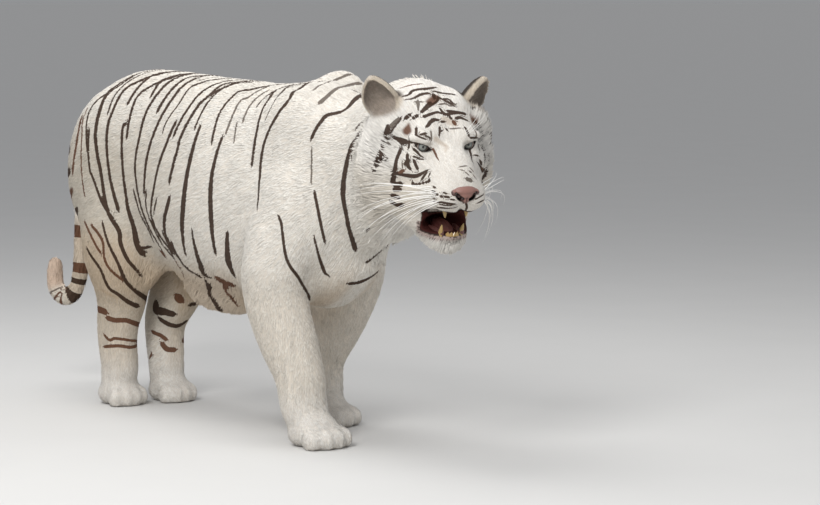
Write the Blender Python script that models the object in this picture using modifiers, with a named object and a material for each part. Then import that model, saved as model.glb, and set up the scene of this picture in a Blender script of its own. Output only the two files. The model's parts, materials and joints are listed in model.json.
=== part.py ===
"""A white tiger, life size, as one still animal.

Metres, with +X forward, +Y to the tiger's left and +Z up; the floor is z = 0.  The tiger stands on four feet, the
right forefoot forward and the left one back, its head turned to its right and its mouth a little open.

The flesh is modelled whole: lofts along the spine, the legs and the tail and ellipsoids for the muscles are fused by
a voxel Remesh and smoothed.  Thin cuts then part it into the pieces that a person would name.  Ears, eyes, nose,
teeth and tongue are solids of their own, set against it or into sockets.
"""

import math

import bmesh
import bpy
import numpy as np
from mathutils import Matrix, Vector

# ---- Driving dimensions -------------------------------------------------------------------------------------------
WITHERS = 0.95  # floor to the top of the shoulder blades
GAP = 0.0003  # between neighbouring pieces
FLOOR = 0.006  # up from here the paws are kept, so that they stand on small flats
SKIN_VOXEL = 0.007  # of the Remesh that fuses the flesh
HEAD_TRIANGLES = 1500
BODY_TRIANGLES = 3250
FINENESS = 0.0004  # how much more detail is kept in the face and the paws
EYE_RADIUS = 0.0185
# The ears' middles on the head's own axes; the right one is carried a little higher
EAR = {"right": (-0.118, -0.110, 0.073), "left": (-0.118, 0.116, 0.061)}

# Where the feet stand: the middle of each pad, (x, y)
FOREFOOT = {"right": (0.530, -0.125), "left": (0.258, 0.118)}
HINDFOOT = {"right": (-0.418, -0.095), "left": (-0.385, 0.050)}
SIDE = {"right": -1.0, "left": 1.0}

# The head's own axes: x to the nose, y to its left, z up, from the point between the eyes
HEAD_SCALE = 1.12
EYE_LINE = Vector((0.985, -0.065, 0.785))
HEAD_YAW, HEAD_PITCH, HEAD_ROLL = -13.0, 16.0, 1.5
HEAD = (
    Matrix.Translation(EYE_LINE)
    @ Matrix.Rotation(math.radians(HEAD_YAW), 4, "Z")
    @ Matrix.Rotation(math.radians(HEAD_PITCH), 4, "Y")
    @ Matrix.Rotation(math.radians(HEAD_ROLL), 4, "X")
    @ Matrix.Scale(HEAD_SCALE, 4)
)
HEAD_CUT = -0.180  # where the head meets the neck, on the head's own x
EYE = Vector((-0.0110, 0.0540, -0.0010))  # the left one, on the head's own axes

# Heights of the cuts through the legs
FORELEG_CUTS = (0.285, 0.100)
HINDLEG_CUTS = (0.300, 0.095)
# Where the legs leave the trunk: (y, z) up the underside of the body, for the left side
FORELEG_SEAM = [(0.040, 0.297), (0.075, 0.322), (0.135, 0.370), (0.170, 0.420), (0.205, 0.490), (0.350, 0.620)]
HINDLEG_SEAM = [(0.030, 0.372), (0.060, 0.380), (0.120, 0.430), (0.180, 0.520), (0.350, 0.640)]
CROTCH = -0.018  # y between the hind legs
NECK_CUT = 0.665  # x
TAIL_CUT = -0.672  # x

# The trunk from rump to chest: (x, top, bottom, half width, height of the widest point)
TRUNK = [
    (-0.655, 0.735, 0.600, 0.060, 0.67),
    (-0.610, 0.815, 0.500, 0.125, 0.67),
    (-0.520, 0.900, 0.450, 0.160, 0.68),
    (-0.400, 0.942, 0.425, 0.168, 0.67),
    (-0.250, 0.944, 0.395, 0.165, 0.65),
    (-0.080, 0.934, 0.350, 0.182, 0.61),
    (0.120, 0.924, 0.332, 0.200, 0.59),
    (0.300, 0.922, 0.340, 0.192, 0.59),
    (0.450, 0.925, 0.348, 0.165, 0.60),
    (0.550, 0.905, 0.385, 0.130, 0.61),
    (0.605, 0.850, 0.455, 0.090, 0.63),
    (0.632, 0.770, 0.560, 0.045, 0.66),
]

# The skull and muzzle on the head's own axes: the same five columns
SKULL = [
    (-0.205, 0.045, -0.110, 0.080, -0.030),
    (-0.160, 0.076, -0.155, 0.110, -0.040),
    (-0.115, 0.090, -0.165, 0.120, -0.040),
    (-0.070, 0.081, -0.155, 0.118, -0.042),
    (-0.032, 0.056, -0.145, 0.106, -0.048),
    (0.000, 0.022, -0.136, 0.092, -0.056),
    (0.030, -0.002, -0.126, 0.076, -0.068),
    (0.060, -0.022, -0.119, 0.064, -0.078),
    (0.088, -0.038, -0.113, 0.056, -0.082),
    (0.106, -0.050, -0.106, 0.042, -0.078),
    (0.117, -0.062, -0.092, 0.022, -0.076),
]

# The mouth: the space between the lips, which widens to cut right through them ahead of the corners
MOUTH = [
    (-0.030, -0.164, -0.174, 0.014, -0.170),
    (0.000, -0.155, -0.178, 0.032, -0.169),
    (0.022, -0.143, -0.181, 0.048, -0.168),
    (0.044, -0.127, -0.183, 0.080, -0.165),
    (0.075, -0.113, -0.184, 0.095, -0.158),
    (0.170, -0.105, -0.188, 0.100, -0.150),
]


# ---- Shapes -------------------------------------------------------------------------------------------------------
def smooth_path(stations, steps):
    """A Catmull-Rom spline through rows of numbers, with this many rows for each gap between them."""
    rows = np.array(stations, float)
    padded = np.vstack([2 * rows[0] - rows[1], rows, 2 * rows[-1] - rows[-2]])
    out = []
    for a, b, c, d in zip(padded, padded[1:], padded[2:], padded[3:]):
        for t in np.arange(steps) / steps:
            bend = 2 * a - 5 * b + 4 * c - d + t * (3 * (b - c) + d - a)
            out.append(b + 0.5 * t * (c - a + t * bend))
    out.append(rows[-1])
    return np.array(out)


def add_rings(bm, rings):
    """Closed rings of equal length joined into a tube, with a cap over each end."""
    verts = [[bm.verts.new(point) for point in ring] for ring in rings]
    count = len(rings[0])
    for low, high in zip(verts, verts[1:]):
        for i in range(count):
            j = (i + 1) % count
            bm.faces.new((low[i], low[j], high[j], high[i]))
    bm.faces.new(reversed(verts[0]))
    bm.faces.new(verts[-1])


def add_barrel(bm, stations, frame=None, square=0.9, steps=5, count=32):
    """A loft along x through rows of (x, top, bottom, half width, height of the widest point)."""
    rings = []
    for x, top, bottom, half, widest in smooth_path(stations, steps):
        ring = []
        for k in range(count):
            c = math.cos(2 * math.pi * k / count)
            s = math.sin(2 * math.pi * k / count)
            reach = top - widest if s > 0 else widest - bottom
            wide = math.copysign(abs(c) ** square, c)
            point = Vector((x, -half * wide, widest + reach * s))
            ring.append(frame @ point if frame else point)
        rings.append(ring)
    add_rings(bm, rings)


def add_limb(bm, stations, steps=5, count=24):
    """A tube through rows of (x, y, z, half width, reach to the front, reach to the back)."""
    rows = smooth_path(stations, steps)
    rings = []
    for i, row in enumerate(rows):
        tangent = rows[min(i + 1, len(rows) - 1), :3] - rows[max(i - 1, 0), :3]
        tangent /= np.linalg.norm(tangent)
        side = np.array((0.0, 1.0, 0.0))
        side -= side.dot(tangent) * tangent
        side /= np.linalg.norm(side)
        front = np.cross(tangent, side)
        ring = []
        for k in range(count):
            c = math.cos(2 * math.pi * k / count)
            s = math.sin(2 * math.pi * k / count)
            ring.append(row[:3] + side * row[3] * c - front * s * (row[4] if s < 0 else row[5]))
        rings.append(ring)
    add_rings(bm, rings)


def add_muscle(bm, centre, radii, turn=(0, 0, 0), frame=None, subdivisions=3):
    """An ellipsoid turned by degrees about X, then Y, then Z."""
    turned = Matrix.Identity(4)
    for degrees, axis in zip(turn, "XYZ"):
        turned = Matrix.Rotation(math.radians(degrees), 4, axis) @ turned
    matrix = Matrix.Translation(centre) @ turned @ Matrix.Diagonal((*radii, 1))
    if frame:
        matrix = frame @ matrix
    bmesh.ops.create_icosphere(bm, subdivisions=subdivisions, radius=1, matrix=matrix)


def new_object(name, bm, collection):
    bmesh.ops.recalc_face_normals(bm, faces=bm.faces)
    mesh = bpy.data.meshes.new(name)
    bm.to_mesh(mesh)
    bm.free()
    obj = bpy.data.objects.new(name, mesh)
    collection.objects.link(obj)
    return obj


# ---- Flesh --------------------------------------------------------------------------------------------------------
def add_trunk(bm):
    add_barrel(bm, TRUNK)
    # The loose fold under the belly, the breastbone and the fold between the forelegs
    add_muscle(bm, (0.000, 0, 0.360), (0.200, 0.090, 0.075))
    add_muscle(bm, (0.500, 0, 0.500), (0.088, 0.095, 0.135))
    add_muscle(bm, (0.420, 0, 0.395), (0.120, 0.075, 0.062))


def add_neck(bm):
    nape = HEAD @ Vector((-0.150, 0, -0.030))
    add_limb(
        bm,
        [
            (0.400, 0.000, 0.690, 0.120, 0.200, 0.215),
            (0.560, -0.004, 0.700, 0.132, 0.190, 0.205),
            (0.690, -0.014, 0.715, 0.132, 0.180, 0.185),
            (nape.x, nape.y, nape.z, 0.130, 0.155, 0.150),
            (nape.x + 0.06, nape.y - 0.014, nape.z - 0.010, 0.105, 0.120, 0.120),
        ],
    )


def add_foreleg(bm, side):
    s = SIDE[side]
    x, y = FOREFOOT[side]
    if side == "right":
        shoulder = (0.490, -0.130, 0.600)
        elbow = (0.405, -0.165, 0.440)
        wrist = (x - 0.050, y - 0.004, 0.125)
        add_muscle(bm, (0.420, -0.068, 0.705), (0.190, 0.090, 0.225), (14, 24, 0))
    else:
        shoulder = (0.435, 0.125, 0.600)
        elbow = (0.330, 0.145, 0.440)
        wrist = (x - 0.030, y + 0.004, 0.125)
        add_muscle(bm, (0.355, 0.064, 0.757), (0.165, 0.086, 0.218), (-12, 8, 0))
    middle = [(a + b) / 2 for a, b in zip(elbow, wrist)]
    add_muscle(bm, shoulder, (0.105, 0.080, 0.140), (-10 * s, -16, 0))
    add_limb(
        bm,
        [
            (shoulder[0] - 0.020, s * 0.125, 0.650, 0.075, 0.100, 0.115),
            (elbow[0] + 0.035, elbow[1], 0.510, 0.079, 0.102, 0.112),
            (elbow[0] + 0.017, elbow[1], 0.400, 0.078, 0.093, 0.101),
            (middle[0] + 0.006, middle[1], 0.280, 0.074, 0.088, 0.090),
            (wrist[0] + 0.004, wrist[1], 0.175, 0.066, 0.070, 0.070),
            (wrist[0] + 0.012, wrist[1], 0.115, 0.066, 0.063, 0.063),
            (x - 0.012, y, 0.062, 0.066, 0.052, 0.058),
        ],
    )


def add_hindleg(bm, side):
    s = SIDE[side]
    x, y = HINDFOOT[side]
    hock_x = x + (0.004 if side == "right" else -0.010)
    shin_x = x + (0.022 if side == "right" else 0.034)
    knee = (x + 0.100, y * 0.5 + s * 0.078, 0.440)
    # Loose skin widens the right leg in front and the left one behind
    front, back = (0.013, 0.0) if side == "right" else (0.0, 0.018)
    add_muscle(bm, (-0.470, s * 0.082, 0.670), (0.176, 0.095, 0.225), (0, 12, 0))
    add_limb(
        bm,
        [
            (-0.450, s * 0.080, 0.680, 0.080, 0.150, 0.165),
            (-0.395, s * 0.104, 0.545, 0.087, 0.140 + front, 0.165),
            (knee[0] - 0.056, knee[1], 0.430, 0.084, 0.112 + 1.4 * front, 0.125 + 0.5 * back),
            (shin_x, y * 0.75 + s * 0.025, 0.315, 0.068, 0.084 + front, 0.086 + back),
            (hock_x, y + s * 0.004, 0.235, 0.056, 0.068 + front, 0.066 + back),
            (hock_x, y + s * 0.003, 0.170, 0.054, 0.058 + front, 0.064 + 0.8 * back),
            (hock_x + 0.008, y, 0.100, 0.054, 0.054 + 0.5 * front, 0.056 + 0.4 * back),
            (x - 0.012, y, 0.050, 0.054, 0.046, 0.048),
        ],
    )
    add_muscle(bm, (hock_x - 0.056, y + s * 0.004, 0.222), (0.030, 0.028, 0.044), (0, 14, 0))
    # The fold of loose skin that hangs from the flank to the knee
    add_muscle(bm, (-0.290, s * 0.078, 0.392), (0.100, 0.032, 0.058), (0, -33, 0))


def add_paw(bm, x, y, half_width, length):
    """A broad paw: the pad, the arch behind the toes, and four toes."""
    add_muscle(bm, (x - 0.008, y, 0.036), (length * 0.35, half_width * 0.90, 0.040))
    add_muscle(bm, (x + 0.014, y, 0.054), (length * 0.30, half_width * 0.86, 0.042), (0, 20, 0))
    for slot in (-1.5, -0.5, 0.5, 1.5):
        reach = length * (0.39 if abs(slot) < 1 else 0.31)
        toe = (x + reach, y + half_width * 0.47 * slot, 0.029)
        add_muscle(bm, toe, (length * 0.21, half_width * 0.30, 0.033), (0, 14, 7 * slot))


def add_tail(bm):
    add_limb(
        bm,
        [
            (-0.580, 0.000, 0.812, 0.052, 0.050, 0.055),
            (-0.650, 0.000, 0.783, 0.046, 0.046, 0.048),
            (-0.710, 0.000, 0.702, 0.038, 0.038, 0.038),
            (-0.735, -0.002, 0.570, 0.031, 0.031, 0.031),
            (-0.738, -0.006, 0.440, 0.029, 0.029, 0.029),
            (-0.740, -0.012, 0.345, 0.029, 0.029, 0.029),
            (-0.755, -0.024, 0.283, 0.028, 0.028, 0.028),
            (-0.785, -0.043, 0.270, 0.029, 0.029, 0.029),
            (-0.8073, -0.054, 0.302, 0.030, 0.030, 0.030),
            (-0.8075, -0.055, 0.345, 0.030, 0.030, 0.030),
            (-0.8060, -0.054, 0.380, 0.025, 0.025, 0.025),
            (-0.8050, -0.053, 0.394, 0.010, 0.010, 0.010),
        ],
        steps=4,
        count=16,
    )


def add_head(bm):
    """Skull, cheeks, brows, muzzle and jaw, on the head's own axes."""

    def mass(centre, radii, turn=(0, 0, 0)):
        for s in (1, -1) if centre[1] else (1,):
            at = (centre[0], s * centre[1], centre[2])
            add_muscle(bm, at, radii, (s * turn[0], turn[1], s * turn[2]), frame=HEAD)

    add_barrel(bm, SKULL, frame=HEAD, square=0.85)
    # Temples, and the ruff that stands out behind the cheeks
    mass((-0.118, 0.050, 0.036), (0.080, 0.055, 0.056))
    mass((-0.095, 0.090, 0.000), (0.070, 0.052, 0.062))
    mass((-0.088, 0.112, -0.055), (0.068, 0.046, 0.098), (8, 0, 0))
    mass((-0.082, 0.092, -0.125), (0.068, 0.046, 0.060), (12, 8, 0))
    # Brows and cheekbones
    mass((-0.018, 0.046, 0.020), (0.040, 0.036, 0.020), (0, 22, 22))
    mass((-0.030, 0.074, -0.052), (0.056, 0.040, 0.050), (0, 10, -20))
    mass((0.000, 0.058, -0.096), (0.064, 0.036, 0.048), (0, 10, -14))
    mass((-0.036, 0.076, -0.106), (0.060, 0.036, 0.050), (0, 10, -10))
    # The bridge of the nose and the whisker pads
    mass((0.036, 0.000, -0.030), (0.086, 0.048, 0.032), (0, 27, 0))
    mass((0.076, 0.033, -0.086), (0.048, 0.033, 0.035), (0, 10, -14))
    # The lower jaw, dropped a little, with the chin
    mass((0.020, 0.034, -0.180), (0.060, 0.025, 0.032), (0, 14, -10))
    mass((-0.010, 0.000, -0.176), (0.070, 0.046, 0.036), (0, 14, 0))
    mass((0.046, 0.000, -0.198), (0.038, 0.040, 0.030), (0, 12, 0))
    mass((-0.034, 0.054, -0.152), (0.060, 0.032, 0.042), (0, 16, -8))


def evaluated(obj):
    """This object's mesh with its modifiers carried out."""
    bpy.context.view_layer.update()
    graph = bpy.context.evaluated_depsgraph_get()
    return bpy.data.meshes.new_from_object(obj.evaluated_get(graph))


def fused(name, bm, collection, voxel, iterations, triangles=None):
    """Overlapping shapes made into one skin, smoothed, and thinned to about this many triangles."""
    obj = new_object(name, bm, collection)
    remesh = obj.modifiers.new("fuse", "REMESH")
    remesh.mode = "VOXEL"
    remesh.voxel_size = voxel
    smooth = obj.modifiers.new("soften", "SMOOTH")
    smooth.factor = 0.5
    smooth.iterations = iterations
    if triangles:
        thinned(obj, triangles)
    return obj


def thinned(obj, triangles, fine=None):
    """Thins a mesh to about this many triangles, and less so the vertices that fine picks out."""
    count = sum(len(polygon.vertices) - 2 for polygon in evaluated(obj).polygons)
    decimate = obj.modifiers.new("thin", "DECIMATE")
    decimate.ratio = min(1.0, triangles / count)
    decimate.use_collapse_triangulate = True
    if fine:
        group = obj.vertex_groups.new(name="coarse")
        for vertex in obj.data.vertices:
            group.add([vertex.index], 0.01 if fine(vertex.co) else 1.0, "REPLACE")
        decimate.vertex_group = group.name
        decimate.vertex_group_factor = FINENESS


def relaxed(bm, inside, iterations):
    """Softens one part of a mesh only."""
    verts = [vert for vert in bm.verts if inside(vert.co)]
    for _ in range(iterations):
        bmesh.ops.smooth_vert(bm, verts=verts, factor=0.5, use_axis_x=True, use_axis_y=True, use_axis_z=True)


def make_flesh(collection):
    """The whole animal in two passes, so that the muscles melt together while toes and face stay crisp."""
    bm = bmesh.new()
    add_trunk(bm)
    add_neck(bm)
    for side in SIDE:
        add_foreleg(bm, side)
        add_hindleg(bm, side)
    body = fused("muscles", bm, collection, 0.009, 36)
    bm = bmesh.new()
    bm.from_mesh(evaluated(body))
    relaxed(bm, lambda co: 0.15 < co.x < 0.66 and co.z > 0.46, 60)
    relaxed(bm, lambda co: -0.62 < co.x < -0.20 and 0.42 < co.z < 0.86, 30)
    for side in SIDE:
        add_paw(bm, *FOREFOOT[side], half_width=0.071, length=0.178)
        add_paw(bm, *HINDFOOT[side], half_width=0.061, length=0.155)
    add_tail(bm)
    add_head(bm)
    bpy.data.objects.remove(body)
    rough = fused("rough", bm, collection, SKIN_VOXEL, 3)
    # The orbits are sunk before the last softening
    for s in SIDE.values():
        bm = bmesh.new()
        add_muscle(bm, (0.020, s * 0.057, -0.003), (0.021, 0.026, 0.017), (0, 0, s * 20), frame=HEAD)
        boolean(rough, new_object("orbit", bm, collection), "DIFFERENCE")
    bm = bmesh.new()
    bm.from_mesh(evaluated(rough))
    bpy.data.objects.remove(rough)
    return fused("flesh", bm, collection, SKIN_VOXEL, 9)


# ---- Cuts ---------------------------------------------------------------------------------------------------------
def boolean(obj, cutter, operation):
    modifier = obj.modifiers.new(operation.lower(), "BOOLEAN")
    modifier.operation = operation
    modifier.solver = "EXACT"
    modifier.object = cutter


def swollen(obj, by):
    """The same shape, grown outwards by this much, or shrunk if it is negative."""
    grown = bpy.data.objects.new(obj.name + "_grown", evaluated(obj))
    obj.users_collection[0].objects.link(grown)
    displace = grown.modifiers.new("grow", "DISPLACE")
    displace.strength = by
    displace.mid_level = 0.0
    return grown


def region(outline, low, high, collection, frame=None):
    """A cutter: an outline of (y, z) points, drawn out along x from low to high."""
    bm = bmesh.new()
    rings = [[Vector((x, y, z)) for y, z in outline] for x in (low, high)]
    add_rings(bm, [[frame @ point if frame else point for point in ring] for ring in rings])
    return new_object("region", bm, collection)


def box(low, high, collection, frame=None):
    outline = [(low[1], low[2]), (high[1], low[2]), (high[1], high[2]), (low[1], high[2])]
    return region(outline, low[0], high[0], collection, frame)


def half(mesh, point, normal):
    """Keeps the side of the mesh that this plane's normal points away from, and closes it."""
    bm = bmesh.new()
    bm.from_mesh(mesh)
    everything = bm.verts[:] + bm.edges[:] + bm.faces[:]
    cut = bmesh.ops.bisect_plane(bm, geom=everything, plane_co=point, plane_no=normal, clear_outer=True)
    rim = [edge for edge in cut["geom_cut"] if isinstance(edge, bmesh.types.BMEdge)]
    bmesh.ops.triangle_fill(bm, edges=rim, use_beauty=True)
    bmesh.ops.recalc_face_normals(bm, faces=bm.faces)
    bm.to_mesh(mesh)
    bm.free()
    return mesh


class Workshop:
    """Where the helpers are kept out of sight, and where the finished pieces go."""

    def __init__(self):
        self.helpers = bpy.data.collections.new("helpers")
        self.tiger = bpy.data.collections.new("white_tiger")
        for collection in (self.helpers, self.tiger):
            bpy.context.scene.collection.children.link(collection)

    def piece(self, name, mesh, keep=(), remove=()):
        """A node: this mesh, within the regions of keep and outside the shapes of remove."""
        obj = bpy.data.objects.new(name, mesh.copy())
        self.tiger.objects.link(obj)
        for cutter in keep:
            boolean(obj, cutter, "INTERSECT")
        for cutter in remove:
            boolean(obj, cutter, "DIFFERENCE")
        return obj


def leg_outline(side, seam, inner, low, high, grow=0.0):
    """The (y, z) outline of one leg between two heights, of which the upper follows the seam when it is None."""
    s = SIDE[side]
    if high is None:
        rise = [(s * (y - grow), z + grow) for y, z in [(s * inner, seam[0][1] - 0.008), *seam]]
        return [(inner, low), *rise, (s * 0.35, low)]
    return [(inner, low), (inner, high), (s * 0.35, high), (s * 0.35, low)]


def make_body(shop, flesh):
    body = bpy.data.objects.new("body", evaluated(flesh))
    shop.helpers.objects.link(body)
    thinned(body, BODY_TRIANGLES, lambda co: co.z < 0.10)
    boolean(body, box((HEAD_CUT - GAP, -0.4, -0.33), (0.4, 0.4, 0.4), shop.helpers, HEAD), "DIFFERENCE")
    mesh = half(evaluated(body), (0, 0, FLOOR), (0, 0, -1))
    cuts = []
    for side in SIDE:
        s = SIDE[side]
        legs = (
            ("fore", (0.14, 0.75), FORELEG_SEAM, s * 0.015, FORELEG_CUTS),
            ("hind", (-0.70, -0.200), HINDLEG_SEAM, CROTCH + s * GAP, HINDLEG_CUTS),
        )
        for name, (rear, front), line, inner, (knee, ankle) in legs:
            pieces = (
                (f"{name}leg_{side}_upper", knee + GAP / 2, None),
                (f"{name}leg_{side}_lower", ankle + GAP / 2, knee - GAP / 2),
                (f"{name}paw_{side}", -0.05, ankle - GAP / 2),
            )
            for title, low, high in pieces:
                outline = leg_outline(side, line, inner, low, high)
                cutter = region(outline, rear, front, shop.helpers)
                shop.piece(title, mesh, keep=[cutter])
            outline = leg_outline(side, line, inner, -0.06, None, grow=GAP)
            cuts.append(region(outline, rear - GAP, front + GAP, shop.helpers))
    tail = box((-1.0, -0.2, 0.1), (TAIL_CUT, 0.2, 0.85), shop.helpers)
    cuts.append(box((-1.1, -0.3, 0.0), (TAIL_CUT + GAP, 0.3, 0.9), shop.helpers))
    cuts.append(box((NECK_CUT - GAP, -0.5, 0.3), (1.3, 0.5, 1.2), shop.helpers))
    shop.piece("trunk", mesh, remove=cuts)
    shop.piece("neck", mesh, keep=[box((NECK_CUT, -0.5, 0.3), (1.3, 0.5, 1.2), shop.helpers)])
    make_tail(shop, mesh, tail)


def make_tail(shop, mesh, whole):
    """Five lengths: base, middle, the bottom of the curl, and the tip, which stands up outside the middle."""
    root = box((-1.0, -0.2, 0.60), (TAIL_CUT, 0.2, 0.9), shop.helpers)
    upper = box((-1.0, -0.2, 0.46), (TAIL_CUT, 0.2, 0.60 - GAP), shop.helpers)
    lower = box((-0.774, -0.2, 0.335), (TAIL_CUT, 0.2, 0.46 - GAP), shop.helpers)
    curl = box((-1.0, -0.2, 0.1), (TAIL_CUT, 0.2, 0.335 - GAP), shop.helpers)
    tip = box((-1.0, -0.2, 0.335), (-0.7745, 0.2, 0.46), shop.helpers)
    lengths = {"base": root, "upper": upper, "lower": lower, "curl": curl, "tip": tip}
    for title, cutter in lengths.items():
        shop.piece(f"tail_{title}", mesh, keep=[cutter])


def make_nose(shop):
    """The leather of the nose: broad above, narrowing to the lip, with a nostril each side."""
    bm = bmesh.new()
    add_muscle(bm, (0.102, 0, -0.069), (0.022, 0.026, 0.017), frame=HEAD, subdivisions=3)
    add_muscle(bm, (0.106, 0, -0.084), (0.016, 0.012, 0.018), frame=HEAD, subdivisions=3)
    for s in (1, -1):
        add_muscle(bm, (0.098, s * 0.019, -0.067), (0.020, 0.013, 0.012), (0, 0, s * 25), frame=HEAD)
    nose = fused("nose_block", bm, shop.helpers, 0.0025, 4, 150)
    nostrils = []
    for s in (1, -1):
        bm = bmesh.new()
        add_muscle(bm, (0.120, s * 0.0175, -0.074), (0.012, 0.0075, 0.0050), (0, 0, s * 30), frame=HEAD, subdivisions=1)
        nostrils.append(new_object("nostril", bm, shop.helpers))
    shop.piece("nose", evaluated(nose), remove=nostrils)
    return nose


def ear_frame(side):
    s = SIDE[side]
    turn = Matrix.Rotation(math.radians(-24 * s), 4, "X") @ Matrix.Rotation(math.radians(34 * s), 4, "Z")
    return HEAD @ Matrix.Translation(EAR[side]) @ turn


def ear_shape(name, side, offset, radii, segments, rings, collection):
    """An egg that narrows towards the tip of the ear, and leans out a little."""
    bm = bmesh.new()
    bmesh.ops.create_uvsphere(bm, u_segments=segments, v_segments=rings, radius=1)
    for vert in bm.verts:
        rise = max(0.0, vert.co.z)
        vert.co.y = vert.co.y * (1 - 0.34 * rise) + SIDE[side] * 0.12 * rise
    bm.transform(ear_frame(side) @ Matrix.Translation(offset) @ Matrix.Diagonal((*radii, 1)))
    return new_object(name, bm, collection)


def make_ears(shop, head):
    """Cupped shells: one egg hollowed by another, open to the front and side, and cut to the skull."""
    skull = swollen(head, GAP * 1.5)
    for side in SIDE:
        shell = ear_shape("ear_shell", side, (0, 0, 0), (0.025, 0.042, 0.057), 12, 8, shop.helpers)
        hollow = ear_shape("ear_hollow", side, (0.012, 0, 0.001), (0.028, 0.036, 0.050), 12, 8, shop.helpers)
        shop.piece(f"ear_{side}", evaluated(shell), remove=[hollow, skull])


def make_eyes(shop):
    """The eyeballs, and what the head loses for each: a socket and the opening between the lids."""
    cutters = []
    for side, s in SIDE.items():
        bm = bmesh.new()
        place = HEAD @ Matrix.Translation((EYE.x, s * EYE.y, EYE.z)) @ Matrix.Rotation(math.pi / 2, 4, "Y")
        size = EYE_RADIUS / HEAD_SCALE
        bmesh.ops.create_uvsphere(bm, u_segments=12, v_segments=8, radius=size, matrix=place)
        ball = new_object(f"eyeball_{side}", bm, shop.helpers)
        shop.piece(f"eye_{side}", evaluated(ball))
        bm = bmesh.new()
        middle = (EYE.x + 0.018, s * (EYE.y - 0.001), EYE.z)
        add_muscle(bm, middle, (0.018, 0.0155, 0.0090), (s * 8, 0, s * 12), frame=HEAD, subdivisions=1)
        cutters += [swollen(ball, GAP), new_object(f"lids_{side}", bm, shop.helpers)]
    return cutters


def make_mouth(shop):
    """Tongue, canines and lower incisors, kept within the space between the jaws."""
    bm = bmesh.new()
    add_barrel(bm, MOUTH, frame=HEAD, square=0.8, steps=2, count=16)
    space = new_object("mouth", bm, shop.helpers)
    inside = swollen(space, -GAP)

    def within(name, bm):
        block = new_object(name + "_block", bm, shop.helpers)
        shop.piece(name, evaluated(block), keep=[inside])

    bm = bmesh.new()
    add_muscle(bm, (0.022, 0, -0.180), (0.046, 0.022, 0.015), (0, 8, 0), frame=HEAD, subdivisions=2)
    within("tongue", bm)
    for side, s in SIDE.items():
        for name, root, tip, radius in (
            ("upper", (0.074, 0.026, -0.100), (0.079, 0.025, -0.136), 0.0075),
            ("lower", (0.064, 0.023, -0.192), (0.070, 0.026, -0.155), 0.0070),
        ):
            bm = bmesh.new()
            root = np.array((root[0], s * root[1], root[2]))
            tip = np.array((tip[0], s * tip[1], tip[2]))
            rings = []
            for t in (0.0, 0.5, 0.85, 1.0):
                size = radius * max(0.12, (1 - t * t) ** 0.7)
                at = root + (tip - root) * t + np.array((-0.006 * t * (1 - t), 0, 0))
                angles = [2 * math.pi * k / 7 for k in range(7)]
                ring = [at + size * np.array((math.cos(a), math.sin(a), 0)) for a in angles]
                rings.append([HEAD @ Vector(point) for point in ring])
            add_rings(bm, rings)
            within(f"canine_{name}_{side}", bm)
    bm = bmesh.new()
    stations = []
    for k in range(9):
        y = -0.0150 + 0.030 * k / 8
        crown = 0.0035 + 0.0022 * (k % 2)
        stations.append((0.076 - 20 * y * y, y, -0.182, crown))
    rings = []
    for x, y, z, crown in stations:
        angles = [2 * math.pi * k / 5 + 0.3 for k in range(5)]
        ring = [(x + 0.0045 * math.cos(a), y, z + 2.0 * crown * math.sin(a)) for a in angles]
        rings.append([HEAD @ Vector(point) for point in ring])
    add_rings(bm, rings)
    within("incisors_lower", bm)
    return space


def make_head(shop, flesh):
    normal = HEAD.to_3x3() @ Vector((1, 0, 0))
    normal.normalize()
    seam = HEAD @ Vector((HEAD_CUT, 0, 0))
    rough = half(half(evaluated(flesh), (0, 0, 0.5), (0, 0, -1)), seam - normal * 0.02, -normal)
    block = bpy.data.objects.new("head_block", rough)
    shop.helpers.objects.link(block)
    inverse = HEAD.inverted()
    thinned(block, HEAD_TRIANGLES, lambda co: (inverse @ co).x > -0.040)
    head = bpy.data.objects.new("head_whole", half(evaluated(block), seam + normal * GAP / 2, -normal))
    shop.helpers.objects.link(head)
    space = make_mouth(shop)
    # The jaw is what lies below a line from the back of the mouth down to the throat
    outline = [(-0.020, -0.1700), (0.220, -0.1700), (0.220, -0.300), (-0.085, -0.300), (-0.085, -0.205)]
    bm = bmesh.new()
    rings = [[HEAD @ Vector((x, y, z)) for x, z in outline] for y in (-0.2, 0.2)]
    add_rings(bm, rings)
    jaw = new_object("jaw_region", bm, shop.helpers)
    nose = make_nose(shop)
    sockets = [*make_eyes(shop), swollen(nose, GAP)]
    shop.piece("head", head.data, remove=[swollen(jaw, GAP), space, *sockets])
    shop.piece("lower_jaw", head.data, keep=[jaw], remove=[space])
    make_ears(shop, head)


# ---- Finish -------------------------------------------------------------------------------------------------------
COLOURS = {
    "eye": (0.42, 0.55, 0.62, 1),
    "nose": (0.62, 0.40, 0.36, 1),
    "tongue": (0.72, 0.36, 0.36, 1),
    "canine": (0.84, 0.76, 0.56, 1),
    "incisors": (0.84, 0.76, 0.56, 1),
    "ear": (0.52, 0.47, 0.42, 1),
}
COAT = (0.86, 0.82, 0.75, 1)


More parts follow.
